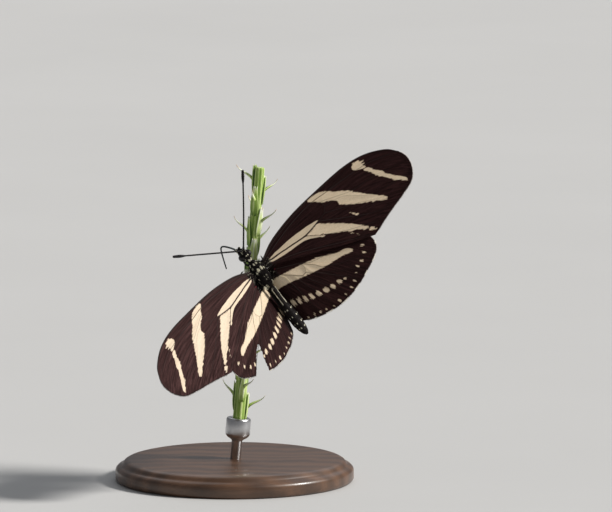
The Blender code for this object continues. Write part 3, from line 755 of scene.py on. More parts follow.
def fringeMaterial():
    s = Surface("wing_fringe")
    grain = s.noise(s.placed(), 4000.0, 2.0)
    dark = s.mix(grain, (0.012, 0.009, 0.009), (0.03, 0.022, 0.02))
    dark = s.mix(s.attribute("tip").step(0.2, 0.9) * 0.85, dark, (0.66, 0.61, 0.58))
    colour = s.mix(s.attribute("pale").step(-0.02, 0.02), dark, (0.84, 0.8, 0.7))
    return s.finish(Base_Color=colour, Roughness=0.7 + grain * 0.1, Specular_IOR_Level=0.15,
                    Normal=s.bump(grain, 0.3, 0.00001))


def makeWings():
    scales, ribs, edging = wingMaterial(), veinMaterial(), fringeMaterial()
    for kind in ("fore", "hind"):
        lines = veinLines(kind)
        for side, label in bothSides:
            makeBlade(kind, side, label, scales, lines)
            makeVeins(kind, side, label, ribs, lines)
            makeFringe(kind, side, label, edging, lines)
    print("wings with bands, veins and fringes")


makeWings()

# Body sections: place along the body, height of the middle, half width, half height (millimetres)
body = {
    "sections": [
        (7.22, -2.12, 0.38, 0.52), (6.85, -1.96, 0.76, 0.98), (6.3, -1.78, 1.02, 1.28),
        (5.65, -1.65, 1.15, 1.42),
        (4.95, -1.52, 1.13, 1.32), (4.35, -1.42, 0.95, 1.05), (3.98, -1.35, 0.8, 0.86),
        (3.65, -1.22, 0.86, 0.92),
        (3.3, -1.16, 1.14, 1.2), (2.6, -1.08, 1.52, 1.55), (1.5, -1.0, 1.84, 1.86),
        (0.1, -0.95, 1.95, 1.95),
        (-1.4, -0.9, 1.84, 1.8), (-2.7, -0.8, 1.46, 1.42), (-3.6, -0.68, 0.98, 0.98),
        (-4.15, -0.6, 0.62, 0.62), (-4.85, -0.66, 0.76, 0.76), (-6.2, -0.92, 0.84, 0.84),
        (-8.1, -1.3, 0.98, 0.96), (-10.4, -1.62, 1.2, 1.16), (-12.9, -1.8, 1.4, 1.32),
        (-15.0, -1.78, 1.38, 1.28), (-16.7, -1.66, 1.14, 1.04), (-17.9, -1.52, 0.8, 0.72),
        (-18.6, -1.44, 0.36, 0.34)],
    "rings": 420,
    "sides": 96,
    "insets": [0.1, 0.1, 0.26, 0.26, 0.08, 0.03],
    "grooves": [-5.7, -7.6, -9.7, -11.8, -13.9, -15.8, -17.3],
    "insetAt": [-7.3, -4.3, -3.4, 3.5, 4.6, 18.7],
    "ends": (7.3, -18.64),
    "eye": (1.02, 5.42, -1.68),
    "eyeRadii": (0.74, 0.86, 1.02),
}
dense = splineAt(body["sections"], np.linspace(0, 1, 2400))


def bodySection(along):
    keys = -dense[:, 0]
    up, width, height = (np.interp(-along, keys, dense[:, k]) for k in (1, 2, 3))
    inset = np.interp(-along, body["insetAt"], body["insets"])
    return up, width - inset, height - inset


# The skin's surface: angle 0 at the right side, a quarter turn up at the back
def skinPlace(along, angle):
    up, width, height = bodySection(along)
    groove = np.zeros_like(along)
    for place in body["grooves"]:
        sharp, soft = (along - place) / 0.13, (along - place + 0.3) / 0.3
        groove = groove + np.exp(-sharp ** 2) + 0.35 * np.exp(-soft ** 2)
    onAbdomen = np.clip((-4.4 - along) / 0.8, 0, 1)
    back = np.clip(np.sin(angle), 0, 1)
    scutellum = np.exp(-((along + 2.15 + 0.55 * np.abs(np.cos(angle))) / 0.16) ** 2) * back
    collarLine = np.exp(-((along - 2.75) / 0.14) ** 2)
    midline = np.exp(-((angle - math.pi / 2) / 0.07) ** 2) * np.clip((along + 1.8) / 0.5, 0, 1)
    midline = midline * np.clip((2.6 - along) / 0.4, 0, 1)
    crown = np.exp(-((along - 5.0) / 0.35) ** 2) * back
    factor = (1 - 0.085 * groove * onAbdomen - 0.075 * scutellum - 0.06 * collarLine - 0.035 * midline
              - 0.04 * crown)
    fromShoulder = np.abs(angle - math.pi / 2) - 1.12
    tegula = np.exp(-((along - 1.9) / 0.62) ** 2 - (fromShoulder / 0.3) ** 2)
    factor = factor + 0.1 * tegula
    square = 1 + 0.035 * np.cos(4 * angle) * onAbdomen
    return np.stack([width * factor * square * np.cos(angle), along * np.ones_like(angle),
                     up + height * factor * square * np.sin(angle)], axis=-1)


# Small pale marks of the body: place across, along and up, and radius; each stands on both sides
bodyMarks = [
    (0.59, 6.34, -0.77, 0.15), (0.24, 5.45, -0.25, 0.16), (0.3, 6.75, -1.05, 0.11),
    (0.96, 4.79, -0.93, 0.17),
    (0.95, 4.45, -1.7, 0.2), (0.36, 4.1, -0.51, 0.28), (0.44, 2.75, 0.28, 0.24),
    (1.24, 2.89, -0.66, 0.25),
    (0.58, 1.15, 0.81, 0.38), (1.32, 0.72, 0.48, 0.29), (1.35, 2.07, -0.04, 0.19),
    (0.4, -0.84, 0.9, 0.14),
    (0.3, -1.75, 0.83, 0.12), (1.62, -0.9, -0.2, 0.2), (1.7, -1.52, -1.3, 0.26),
    (0.92, -3.25, -0.12, 0.27),
    (0.86, -3.75, -0.3, 0.2), (1.86, 0.9, -0.72, 0.3), (1.7, 1.9, -1.5, 0.36), (1.8, -0.6, -1.6, 0.36),
    (1.35, -2.4, -1.3, 0.3), (1.2, 0.2, -2.3, 0.36), (0.5, -4.7, -0.2, 0.15),
]
# Lines and dots of the abdomen, as angles up from its side; the side line climbs towards the back
abdomenMarks = {"lineAlong": [-9.6, -8.0, -6.0, -4.8], "lineAngle": [57.0, 51.0, 39.0, 30.0],
                "lineHalf": 0.085,
                "dashAngle": 27.0, "dashHalf": 0.08, "dotAngle": 60.0, "dotRadius": 0.15,
                "bellyAngle": -58.0, "bellyHalf": 0.16}


def bodyAngle(across, along, up):
    middle, width, height = bodySection(along)
    angle = np.degrees(np.arctan2((up - middle) / height, across / width))
    return angle, np.maximum(width, 0.05) * math.pi / 180


def bodyPale(places):
    across, along, up = np.abs(places[:, 0]), places[:, 1], places[:, 2]
    angle, arc = bodyAngle(across, along, up)
    depth = np.full(len(places), -1.0)
    for x, y, z, radius in bodyMarks:
        markAngle, markArc = bodyAngle(x, y, z)
        away = np.hypot((along - y) * 0.85, (angle - markAngle) * markArc * 1.1)
        depth = np.maximum(depth, radius - away)
    marks = abdomenMarks
    lineAngle = np.interp(along, marks["lineAlong"], marks["lineAngle"])
    line = marks["lineHalf"] - np.hypot((angle - lineAngle) * arc, 2 * np.clip(-9.4 - along, 0, 1))
    beat = np.min([np.abs(along - place - 0.8) for place in body["grooves"]], axis=0)
    dash = marks["dashHalf"] - np.hypot((angle - marks["dashAngle"]) * arc, 0.45 * beat)
    dash = np.where(along < -9.8, dash, -1.0)
    dot = marks["dotRadius"] - np.hypot((angle - marks["dotAngle"]) * arc, 0.7 * beat)
    dot = np.where(along < -9.8, dot, -1.0)
    belly = marks["bellyHalf"] - np.abs(angle - marks["bellyAngle"]) * arc
    onAbdomen = np.max([line, dash, dot, belly + 0.4 * (np.clip((along + 17.6) / 1.0, 0, 1) - 1)], axis=0)
    return np.clip(np.where(along < -4.6, np.maximum(depth, onAbdomen), depth), -1, 1)


def insideEye(places, grow=1.0):
    middle, radii = np.array(body["eye"]), np.array(body["eyeRadii"]) * grow
    folded = np.abs(places[:, 0])[:, None] * np.array([1.0, 0, 0]) + places * np.array([0, 1.0, 1.0])
    return np.linalg.norm((folded - middle) / radii, axis=1) < 1


def scaleMaterial(name, hairy):
    s = Surface(name)
    where = s.placed()
    mottle = s.noise(where, 900.0, 3.0)
    fine = s.noise(where, 9000.0, 2.0)
    black = s.mix(mottle, (0.0025, 0.0018, 0.002), (0.009, 0.006, 0.006))
    cream = s.mix(fine, (0.74, 0.69, 0.48), (0.96, 0.93, 0.78))
    edge = s.attribute("pale") + (mottle - 0.5) * 0.08
    colour = s.mix(edge.step(-0.02, 0.03), black, cream)
    if hairy:
        colour = s.mix(s.attribute("tone") * 0.4, colour, s.mix(0.4, colour, (0.03, 0.02, 0.016)))
    return s.finish(Base_Color=colour, Roughness=0.42 + mottle * 0.3, Specular_IOR_Level=0.14,
                    Normal=s.bump(fine, 0.4, 0.00002))


def makeSkin(material):
    rings, sides = body["rings"], body["sides"]
    along = np.linspace(*body["ends"], rings)
    angles = 2 * math.pi * np.arange(sides) / sides
    grid = skinPlace(np.repeat(along, sides), np.tile(angles, rings))
    top, tail = grid[:sides].mean(0) + (0, 0.05, 0), grid[-sides:].mean(0) - (0, 0.05, 0)
    verts = np.vstack([grid, top, tail])
    k, m = np.meshgrid(np.arange(rings - 1), np.arange(sides), indexing="ij")
    k, m = k.ravel(), m.ravel()
    n = (m + 1) % sides
    quads = np.stack([k * sides + m, k * sides + n, (k + 1) * sides + n, (k + 1) * sides + m], axis=1)
    last = (rings - 1) * sides
    caps = [(j, rings * sides, (j + 1) % sides) for j in range(sides)]
    caps += [(last + j, last + (j + 1) % sides, rings * sides + 1) for j in range(sides)]
    piece = pieceFrom("body_skin", toModel(verts), quads.tolist() + caps)
    setAttribute(piece, "pale", bodyPale(verts))
    corners = np.stack([m, m + 1, m + 1, m], axis=1)
    levels = np.stack([k, k, k + 1, k + 1], axis=1)
    sheet = np.stack([corners / sides, levels / rings], axis=-1).reshape(-1, 2)
    ends = []
    for j in range(sides):
        ends += [(j / sides, 0.0), ((j + 0.5) / sides, 0.0), ((j + 1) / sides, 0.0)]
    for j in range(sides):
        ends += [(j / sides, 1 - 1 / rings), ((j + 1) / sides, 1 - 1 / rings), ((j + 0.5) / sides, 1.0)]
    setMap(piece, "OFBake", np.vstack([sheet, np.array(ends)]))
    return finishPiece(piece, material, "body_scales", "head", "thorax", "abdomen")


# Even spread of roots over a stretch of the body
def coatRoots(start, stop, count, seed):
    draw = np.random.default_rng(seed)
    fine = np.linspace(start, stop, 600)
    up, width, height = bodySection(fine)
    cover = np.cumsum(np.maximum((width + height) / 2, 0.05))
    share = (np.arange(count) + 0.5) / count
    along = np.interp(share, cover / cover[-1], fine) + draw.normal(0, 0.03, count)
    angle = (np.arange(count) * goldenAngle + draw.normal(0, 0.05, count)) % (2 * math.pi)
    return np.clip(along, min(start, stop), max(start, stop)), angle


def skinFrame(along, angle):
    here = skinPlace(along, angle)
    rearward = skinPlace(along - 0.04, angle) - here
    beside = skinPlace(along, angle + 0.03) - here
    outwards = np.cross(beside, rearward)
    return here, unit(rearward), unit(beside), unit(outwards)


coats = {
    "head": {"from": 7.22, "to": 3.9, "count": 5200, "length": (0.2, 0.42), "width": 0.055, "stand": 0.42,
             "swirl": 0.35, "seed": 3},
    "thorax": {"from": 4.1, "to": -4.3, "count": 15500, "length": (0.42, 0.95), "width": 0.055,
               "stand": 0.3,
               "swirl": 0.22, "seed": 4},
    "abdomen": {"from": -4.0, "to": -18.58, "count": 15500, "length": (0.24, 0.38), "width": 0.115,
                "stand": 0.1, "swirl": 0.1, "seed": 5},
}


def makeCoat(part, material):
    spec = coats[part]
    draw = np.random.default_rng(spec["seed"])
    along, angle = coatRoots(spec["from"], spec["to"], spec["count"], spec["seed"])
    roots, rearward, beside, outwards = skinFrame(along, angle)
    keep = ~insideEye(roots, 1.08) & ~insideEye(roots + rearward * 0.22, 1.04)
    along, angle, roots, rearward, beside, outwards = (
        values[keep] for values in (along, angle, roots, rearward, beside, outwards))
    count = len(roots)
    swirl = draw.normal(0, spec["swirl"], count)[:, None]
    stand = np.abs(draw.normal(spec["stand"], spec["stand"] * 0.35, count))[:, None]
    lie = rearward
    if part == "head":
        face = np.clip((along - 5.9) / 0.7, 0, 1)[:, None]
        lie = lie * (1 - 2 * face) + outwards * 0.5 * face
    lie = unit(lie + beside * swirl + outwards * stand)
    length = draw.uniform(*spec["length"], count)
    if part == "abdomen":
        length = length * np.clip((along + 18.8) / 1.2, 0.35, 1)
    if part == "thorax":
        length = length * np.clip(1 - 0.45 * np.exp(-((along - 3.8) / 0.5) ** 2), 0, 1)
    pale = bodyPale(roots + rearward * length[:, None] * 0.5)
    tipPale = bodyPale(roots + rearward * length[:, None])
    length = length * np.where((pale < 0) & (tipPale > 0), 0.5, 1.0)
    length = length * np.where((pale > 0) & (tipPale < 0), 0.65, 1.0)
    curl = -length * spec["stand"] * draw.uniform(0.3, 0.7, count)
    hairs = hairArrays(roots - outwards * 0.02, lie, outwards, length, spec["width"], curl, 0.018)
    front, back = body["ends"]
    home = np.stack([angle / (2 * math.pi), (front - along) / (front - back)], axis=1)
    tone = draw.uniform(0, 1, count)
    return coatPiece(f"coat_{part}", hairs, pale, tone, np.clip(home, 0, 0.996), material)


# Longer hairs that cover where the wings meet the thorax, spread over x and each wing's own y
rootHair = {
    "count": 620, "seed": 17, "x": (-1.3, 0.7), "fore": (-1.1, 1.0), "hind": (-1.7, 1.0), "above": 0.65,
    "lift": 0.05, "length": (0.6, 1.35), "width": 0.05, "curl": -0.12, "thick": 0.018, "pale": 0.05,
}


def makeWingRootHair(material):
    spec = rootHair
    draw = np.random.default_rng(spec["seed"])
    tufts = []
    for kind in ("fore", "hind"):
        for side in (-1, 1):
            count = spec["count"]
            flat = np.stack([draw.uniform(*spec["x"], count), draw.uniform(*spec[kind], count)], axis=1)
            face = np.where(draw.uniform(size=count) < spec["above"], 1.0, -1.0)
            lift = spec["lift"] * face
            here = wingPlace(kind, flat, lift, side)
            out = wingPlace(kind, flat + np.array([1.0, 0.0]), lift, side) - here
            upward = wingPlace(kind, flat, lift + face, side) - here
            fan = wingPlace(kind, flat + np.array([0.0, 1.0]), lift, side) - here
            fan = fan * (flat[:, 1] * 0.35 - 0.15 + draw.normal(0, 0.15, count))[:, None]
            lie = out + fan + upward * draw.uniform(0.05, 0.28, count)[:, None]
            tufts.append((here, unit(lie), unit(upward)))
    roots, lie, upward = (np.vstack(rows) for rows in zip(*tufts))
    count = len(roots)
    length = draw.uniform(*spec["length"], count)
    hairs = hairArrays(roots, lie, upward, length, spec["width"], spec["curl"] * length, spec["thick"])
    pale = np.where(draw.uniform(size=count) < spec["pale"], 0.1, -0.5)
    home = (roots[:, :2] + 5) / 10
    return coatPiece("coat_wing_roots", hairs, pale, draw.uniform(0, 1, count), home, material)


eyes = {"segments": 72, "rings": 48, "facet": 0.045}


def eyeMaterial():
    s = Surface("eye_facets")
    where = s.placed()
    facets = s.node("ShaderNodeTexVoronoi", {"feature": "F1"},
                    {"Vector": where, "Scale": 1 / (eyes["facet"] * mm)})
    patches = s.noise(where, 1500.0, 2.0)
    colour = s.mix(patches, (0.002, 0.0014, 0.0014), (0.01, 0.004, 0.003))
    colour = s.mix(facets.step(0.25, 0.6) * 0.6, colour, (0.0015, 0.001, 0.001))
    return s.finish(Base_Color=colour, Roughness=0.2 + facets * 0.12, Specular_IOR_Level=0.25,
                    Coat_Roughness=0.06, Coat_Weight=0.06 + patches * 0.12,
                    Normal=s.bump(facets, 0.22, 0.00001))


def makeEyes():
    material = eyeMaterial()
    for side, label in bothSides:
        clearSelection()
        bpy.ops.mesh.primitive_uv_sphere_add(segments=eyes["segments"], ring_count=eyes["rings"])
        eye = bpy.context.active_object
        eye.name = eye.data.name = f"eye_{label}_facets"
        ball = np.array([v.co for v in eye.data.vertices])
        middle = np.array(body["eye"]) * (side, 1, 1)
        shape = ball * body["eyeRadii"] + middle
        eye.data.vertices.foreach_set("co", toModel(shape).astype(np.float32).ravel())
        eye.data.shade_smooth()
        eye.data.update()
        finishPiece(eye, material, "eyes", f"eye_{label}")
    print("eyes")


# Soft hairs that close the space between the hindwings' inner margins and the belly
innerHair = {
    "count": 2600, "seed": 23, "share": (0.02, 0.84), "rearward": (0.25, 0.75),
    "length": (0.8, 1.45), "width": 0.07, "curl": 0.1, "thick": 0.02,
}


def makeInnerHair(side, label, material):
    draw = np.random.default_rng(innerHair["seed"])
    count = innerHair["count"]
    share = np.sort(draw.uniform(*innerHair["share"], count))
    rim = splineAt(wing["hind"]["inner"], share)
    tangent = unit(splineAt(wing["hind"]["inner"], share + 0.01) - rim)
    inwards = np.stack([tangent[:, 1], -tangent[:, 0]], axis=1)
    start = rim - inwards * draw.uniform(-0.05, 0.35, count)[:, None]
    here = wingPlace("hind", start, np.zeros(count), side)
    lie = wingPlace("hind", start + inwards, np.zeros(count), side) - here
    along = wingPlace("hind", start + tangent, np.zeros(count), side) - here
    lie = lie + along * draw.uniform(*innerHair["rearward"], count)[:, None]
    upward = np.array([0.0, 0.0, 1.0]) + draw.normal(0, 0.1, (count, 3))
    lie = unit(unit(lie) + upward * draw.uniform(0.0, 0.35, count)[:, None])
    length = draw.uniform(*innerHair["length"], count)
    hairs = hairArrays(here, lie, upward, length, innerHair["width"], innerHair["curl"] * length,
                       innerHair["thick"])
    tone = draw.uniform(0, 1, count)
    home = np.stack([0.02 + 0.9 * share, draw.uniform(0.02, 0.9, count)], axis=1)
    return coatPiece(f"coat_inner_{label}", hairs, paleDepth("hind", start, side), tone, home, material)


def makeBody():
    skinFinish = scaleMaterial("body_scales", False)
    coatFinish = scaleMaterial("body_coat", True)
    makeSkin(skinFinish)
    for part in coats:
        makeCoat(part, coatFinish)
    makeWingRootHair(coatFinish)
    for side, label in bothSides:
        makeInnerHair(side, label, coatFinish)
    print("body skin and its coat")


makeBody()
makeEyes()

# Feelers and mouthparts, for the right side of the body (millimetres)
feelers = {
    "root": (0.34, 7.05, -0.75), "tips": {"left": (-14.8, 17.6, 0.0), "right": (12.9, 20.7, -2.0)},
    "hairs": (900, (0.1, 0.16), 0.045, 0.93), "palpHairs": (1100, (0.16, 0.34), 0.05, 0.72),
    "bow": 0.3, "radius": 0.205, "clubRadius": 0.4, "clubLength": 3.1, "joint": 0.42,
    "proboscis": [(-0.02, 6.2, -3.55), (-0.3, 7.7, -3.95), (-1.3, 9.2, -3.75), (-2.0, 10.0, -4.2),
                  (-2.4, 9.8, -4.9), (-2.6, 8.4, -6.1), (-2.8, 6.4, -7.5), (-3.0, 4.3, -8.9)],
    "proboscisRadius": (0.235, 0.15),
    "palp": [(0.3, 6.3, -3.05), (0.36, 7.0, -3.3), (0.4, 7.42, -2.85), (0.41, 7.5, -2.4)],
    "palpRadii": [0.2, 0.28, 0.24, 0.1], "palpPale": 0.46,
}
legs = {
    "leg_mid_left": {"root": (-0.75, 0.55, -2.62), "knee": (-3.1, 1.2, -5.2), "along": -1.6, "round": -80},
    "leg_mid_right": {"root": (0.75, 0.55, -2.62), "knee": (3.0, 1.2, -4.7), "along": 2.4, "round": 74},
    "leg_hind_left": {"root": (-0.7, -1.35, -2.45), "knee": (-3.2, -3.2, -4.9), "along": -7.0,
                      "round": -80},
    "leg_hind_right": {"root": (0.7, -1.35, -2.45), "knee": (3.3, -2.0, -4.9), "along": -1.6, "round": 86},
}
foreLeg = {"path": [(0.55, 2.75, -2.4), (0.7, 3.35, -2.92), (0.64, 4.15, -3.0), (0.5, 4.7, -2.88)],
           "radii": [0.24, 0.24, 0.18, 0.1], "hairs": (420, (0.22, 0.42), 0.05, 0.75)}
# Hairs of the walking legs: how many, length, width, lean towards the foot and seed
legHairs = [
    ("femur", 360, (0.14, 0.24), 0.06, 0.9, 71), ("tibia", 300, (0.1, 0.2), 0.05, 0.88, 72),
    ("tibia", 34, (0.26, 0.4), 0.045, 0.6, 73), ("tarsus", 90, (0.1, 0.2), 0.035, 0.72, 74),
]
foot = {"length": 2.6, "wrap": 42, "offset": 2.52, "ankleLift": 0.35, "rise": 0.55, "joints": 5}


def stemPoint(along, around, distance):
    a = np.radians(around)
    forwards, sideways = np.array([0.0, -1.0, 0.0]), np.array([stemAxis[2], 0.0, -stemAxis[0]])
    along, a, distance = np.broadcast_arrays(along, a, distance)
    return (stemCentre + along[..., None] * stemAxis
            + distance[..., None] * (np.cos(a)[..., None] * forwards + np.sin(a)[..., None] * sideways))


def hornMaterial(name, dark, light, rough, shine):
    s = Surface(name)
    where = s.placed()
    mottle = s.noise(where, 2500.0, 3.0)
    fine = s.noise(where, 14000.0, 2.0)
    colour = s.mix(mottle, dark, light)
    colour = s.mix(s.attribute("pale").step(-0.02, 0.02), colour, (0.78, 0.72, 0.55))
    return s.finish(Base_Color=colour, Roughness=rough + fine * 0.2, Specular_IOR_Level=shine,
                    Normal=s.bump(fine, 0.3, 0.00001))


# Short stiff hairs standing off a rod, leaning towards its end
def rodHairs(path, radii, count, length, width, lean, seed):
    draw = np.random.default_rng(seed)
    path, radii = np.asarray(path), np.broadcast_to(np.asarray(radii, float), len(path))
    t = (np.arange(count) + 0.5) / count * (len(path) - 1)
    k = np.minimum(t.astype(int), len(path) - 2)
    f = (t - k)[:, None]
    here = path[k] * (1 - f) + path[k + 1] * f
    ahead = unit(path[k + 1] - path[k])
    side = unit(np.cross(ahead, (0.3, 0.2, 0.93)))
    up = np.cross(ahead, side)
    a = (np.arange(count) * goldenAngle + draw.normal(0, 0.1, count)) % (2 * math.pi)
    out = np.cos(a)[:, None] * side + np.sin(a)[:, None] * up
    radius = np.interp(t, np.arange(len(path)), radii)[:, None]
    lie = unit(ahead * lean + out * (1 - lean) + draw.normal(0, 0.06, (count, 3)))
    lengths = draw.uniform(*length, count)
    return hairArrays(here + out * radius * 0.85, lie, out, lengths, width, -0.1 * lengths, width * 0.3)


def ringedPath(path, joint, depth, radii):
    path = np.asarray(path, float)
    steps = np.linalg.norm(np.diff(path, axis=0), axis=1)
    reach = np.concatenate([[0], np.cumsum(steps)])
    count = max(6, int(reach[-1] / joint)) * 4
    at = np.linspace(0, reach[-1], count + 1)
    fine = np.stack([np.interp(at, reach, path[:, k]) for k in range(3)], axis=1)
    thickness = np.interp(at, reach, radii)
    beat = np.array([1.0 - depth, 1.0, 1.0 + depth * 0.5, 1.0 - depth * 0.2])[np.arange(count + 1) % 4]
    return fine, thickness * beat


def makeAntennae(material):
    for side, label in bothSides:
        root = np.array(feelers["root"]) * (side, 1, 1)
        tip = np.array(feelers["tips"][label])
        length = np.linalg.norm(tip - root)
        t = np.linspace(0, 1, 160)
        path = root + t[:, None] * (tip - root)
        path[:, 2] += feelers["bow"] * np.sin(math.pi * t)
        path[0, 1:] += (-0.35, -0.35)
        club = np.clip(1 - (1 - t) * length / feelers["clubLength"], 0, 1)
        swell = np.sin(math.pi * np.minimum(club, 0.72)) * np.clip((1 - club) / 0.1, 0.25, 1) ** 0.5
        radii = feelers["radius"] * (1 - 0.12 * t) + (feelers["clubRadius"] - feelers["radius"]) * swell
        radii[:5] *= 1.35
        fine, thickness = ringedPath(path, feelers["joint"], 0.07, radii)
        hairs = rodHairs(fine, thickness, *feelers["hairs"], 41 + side)
        verts, cells = joinArrays([rodArrays([fine], [thickness], 12), hairs])
        piece = pieceFrom(f"antenna_{label}_ringed", toModel(verts), cells)
        pale = np.where((verts[:, 1] < 9.5) & (verts[:, 2] < -0.75 - 0.1 * (verts[:, 1] - 7)), 0.0, -0.5)
        setAttribute(piece, "pale", pale)
        finishPiece(piece, material, "horn", f"antenna_{label}")


def makeMouthparts(material, hairMaterial):
    t = np.linspace(0, 1, 120)
    path = splineAt(feelers["proboscis"], t)
    thick, thin = feelers["proboscisRadius"]
    fine, thickness = ringedPath(path, 0.16, 0.05, thick + (thin - thick) * t)
    verts, faces = rodArrays([fine], [thickness], 14)
    piece = pieceFrom("proboscis_ringed", toModel(verts), faces)
    setAttribute(piece, "pale", -0.5)
    finishPiece(piece, material, "horn", "proboscis")
    for side, label in bothSides:
        path = splineAt(np.array(feelers["palp"]) * (side, 1, 1), np.linspace(0, 1, 30))
        radii = np.interp(np.linspace(0, 3, 30), range(4), feelers["palpRadii"])
        hairs = rodHairs(path, radii, *feelers["palpHairs"], 51 + side)
        verts, cells = joinArrays([rodArrays([path], [radii], 14), hairs])
        piece = pieceFrom(f"palp_{label}_hairy", toModel(verts), cells)
        setAttribute(piece, "pale", np.where(np.abs(verts[:, 0]) > feelers["palpPale"], 0.1, -0.4))
        setAttribute(piece, "tone", 0.4)
        finishPiece(piece, hairMaterial, "body_scales", f"palp_{label}")


def claws(tip, ahead, out, size):
    parts = []
    across = np.cross(ahead, out)
    for side in (-1, 1):
        t = np.linspace(0, 1, 7)[:, None]
        path = tip + ahead * size * t + across * side * size * 0.45 * t - out * size * 0.75 * t ** 2
        parts.append(rodArrays([path], [0.07 * (1 - 0.9 * t[:, 0])], 6))
    return parts


def makeLegs(material):
    for side, label in bothSides:
        t = np.linspace(0, 1, 40)
        path = toModel(splineAt(np.array(foreLeg["path"]) * (side, 1, 1), t)) / mm
        radii = np.interp(t * 3, range(4), foreLeg["radii"])
        hairs = rodHairs(path, radii, *foreLeg["hairs"], 61 + side)
        verts, cells = joinArrays([rodArrays([path], [radii], 12), hairs])
        piece = pieceFrom(f"leg_fore_{label}_folded", verts * mm, cells)
        setAttribute(piece, "pale", -0.5)
        finishPiece(piece, material, "horn", f"leg_fore_{label}")
    for name, leg in legs.items():
        root, knee = toModel(leg["root"]) / mm, toModel(leg["knee"]) / mm
        ankle = stemPoint(leg["along"], leg["round"], foot["offset"] + foot["ankleLift"])
        wrapped = math.copysign(foot["wrap"], leg["round"])
        climb = foot["length"] * foot["rise"]
        t = np.linspace(0, 1, 26)
        femur = root + (knee - root) * t[:, None]
        tibia = knee + (ankle - knee) * t[:, None]
        tarsus = stemPoint(leg["along"] + climb * t, leg["round"] + wrapped * t,
                           foot["offset"] + foot["ankleLift"] * (1 - t) ** 2 - 0.12 * t)
        femurRadii = 0.2 + 0.12 * np.sin(math.pi * np.clip(t * 0.9 + 0.1, 0, 1))
        tibiaRadii = 0.155 + 0.05 * np.exp(-((t - 0.93) / 0.08) ** 2) + 0.03 * np.exp(-(t / 0.1) ** 2)
        beat = np.abs(np.sin(math.pi * foot["joints"] * t)) ** 0.4
        tarsusRadii = (0.13 + 0.05 * beat) * (1 - 0.12 * t)
        limbs = {"femur": (femur, femurRadii), "tibia": (tibia, tibiaRadii),
                 "tarsus": (tarsus, tarsusRadii)}
        parts = [rodArrays([line], [radii], 12) for line, radii in limbs.values()]
        parts += [rodHairs(*limbs[limb], *settings) for limb, *settings in legHairs]
        out = tarsus[-1] - stemPoint(leg["along"] + climb, leg["round"] + wrapped, 0.0)
        parts += claws(tarsus[-1], unit(tarsus[-1] - tarsus[-2]), unit(out), 0.5)
        for k in (0.5, 0.6):
            spur = tibia[-3] + (tarsus[8] - tibia[-3]) * k * t[:8, None] * 2.2 + out * 0.02
            parts.append(rodArrays([spur], [0.05 * (1 - 0.8 * t[:8] * 3)], 6))
        verts, cells = joinArrays(parts)
        piece = pieceFrom(f"{name}_jointed", verts * mm, cells)
        setAttribute(piece, "pale", -0.5)
        finishPiece(piece, material, "horn", name)


makeAntennae(hornMaterial("feeler_black", (0.0035, 0.003, 0.0035), (0.012, 0.01, 0.011), 0.5, 0.16))
makeMouthparts(hornMaterial("tongue_dark", (0.004, 0.01, 0.011), (0.018, 0.03, 0.032), 0.36, 0.3),
               scaleMaterial("palp_scales", True))
makeLegs(hornMaterial("leg_black", (0.0045, 0.004, 0.0045), (0.02, 0.016, 0.015), 0.42, 0.28))
print("feelers, mouthparts and legs")

# Flower stem: calyces in a spiral, each with a pointed bract except those that face the body where the feet
# grip (millimetres)
stem = {
    "radiusLow": 1.5, "radiusTop": 1.15, "sides": 40, "rings": 260,
    "firstCalyx": 5.75, "step": 2.45, "turn": 137.5, "start": 282.5, "count": 23,
    "calyxLength": 7.2, "calyxWidth": 0.95, "calyxRise": 0.65,
    "calyxSides": 40, "calyxRings": 30, "bractRings": 30, "bractHeld": 0.32,
    "bractPressed": 2.9, "bractLength": (4.6, 6.0), "bractHalf": 0.55, "bractAngles": (26, 36),
    "gripZone": (-10.0, 8.0), "gripAround": 125,
}


def stemRadius(along):
    share = (along + specimen["stemBelow"]) / (specimen["stemAbove"] + specimen["stemBelow"])
    return stem["radiusLow"] + (stem["radiusTop"] - stem["radiusLow"]) * share


def calyxSpots():
    for i in range(stem["count"]):
        along = -specimen["stemBelow"] + stem["firstCalyx"] + stem["step"] * i
        around = (stem["turn"] * i + stem["start"]) % 360 - 180
        yield i, along, around


def makeStemCore():
    rings, sides = stem["rings"], stem["sides"]
    along = np.linspace(-specimen["stemBelow"], specimen["stemAbove"], rings)
    around = 360 * np.arange(sides) / sides
    z, a = np.meshgrid(along, around, indexing="ij")
    ribs = 0.05 * np.cos(np.radians(a * 8 + z * 4)) + 0.03 * np.cos(np.radians(a * 3 - z * 9))
    radius = stemRadius(z) - 0.08 + ribs
    ends = np.minimum(z - along[0], along[-1] - z)
    radius = radius * (1 - 0.12 * np.exp(-(ends / 0.25) ** 2))
    verts = stemPoint(z.ravel(), a.ravel(), radius.ravel())
    verts = np.vstack([verts, stemPoint(along[0] + 0.1, 0, 0.0), stemPoint(along[-1] - 0.15, 0, 0.0)])
    tint = np.concatenate([0.12 + ribs.ravel() * 4, [0.9, 0.9]])
    return verts, tubeFaces(rings, sides), tint


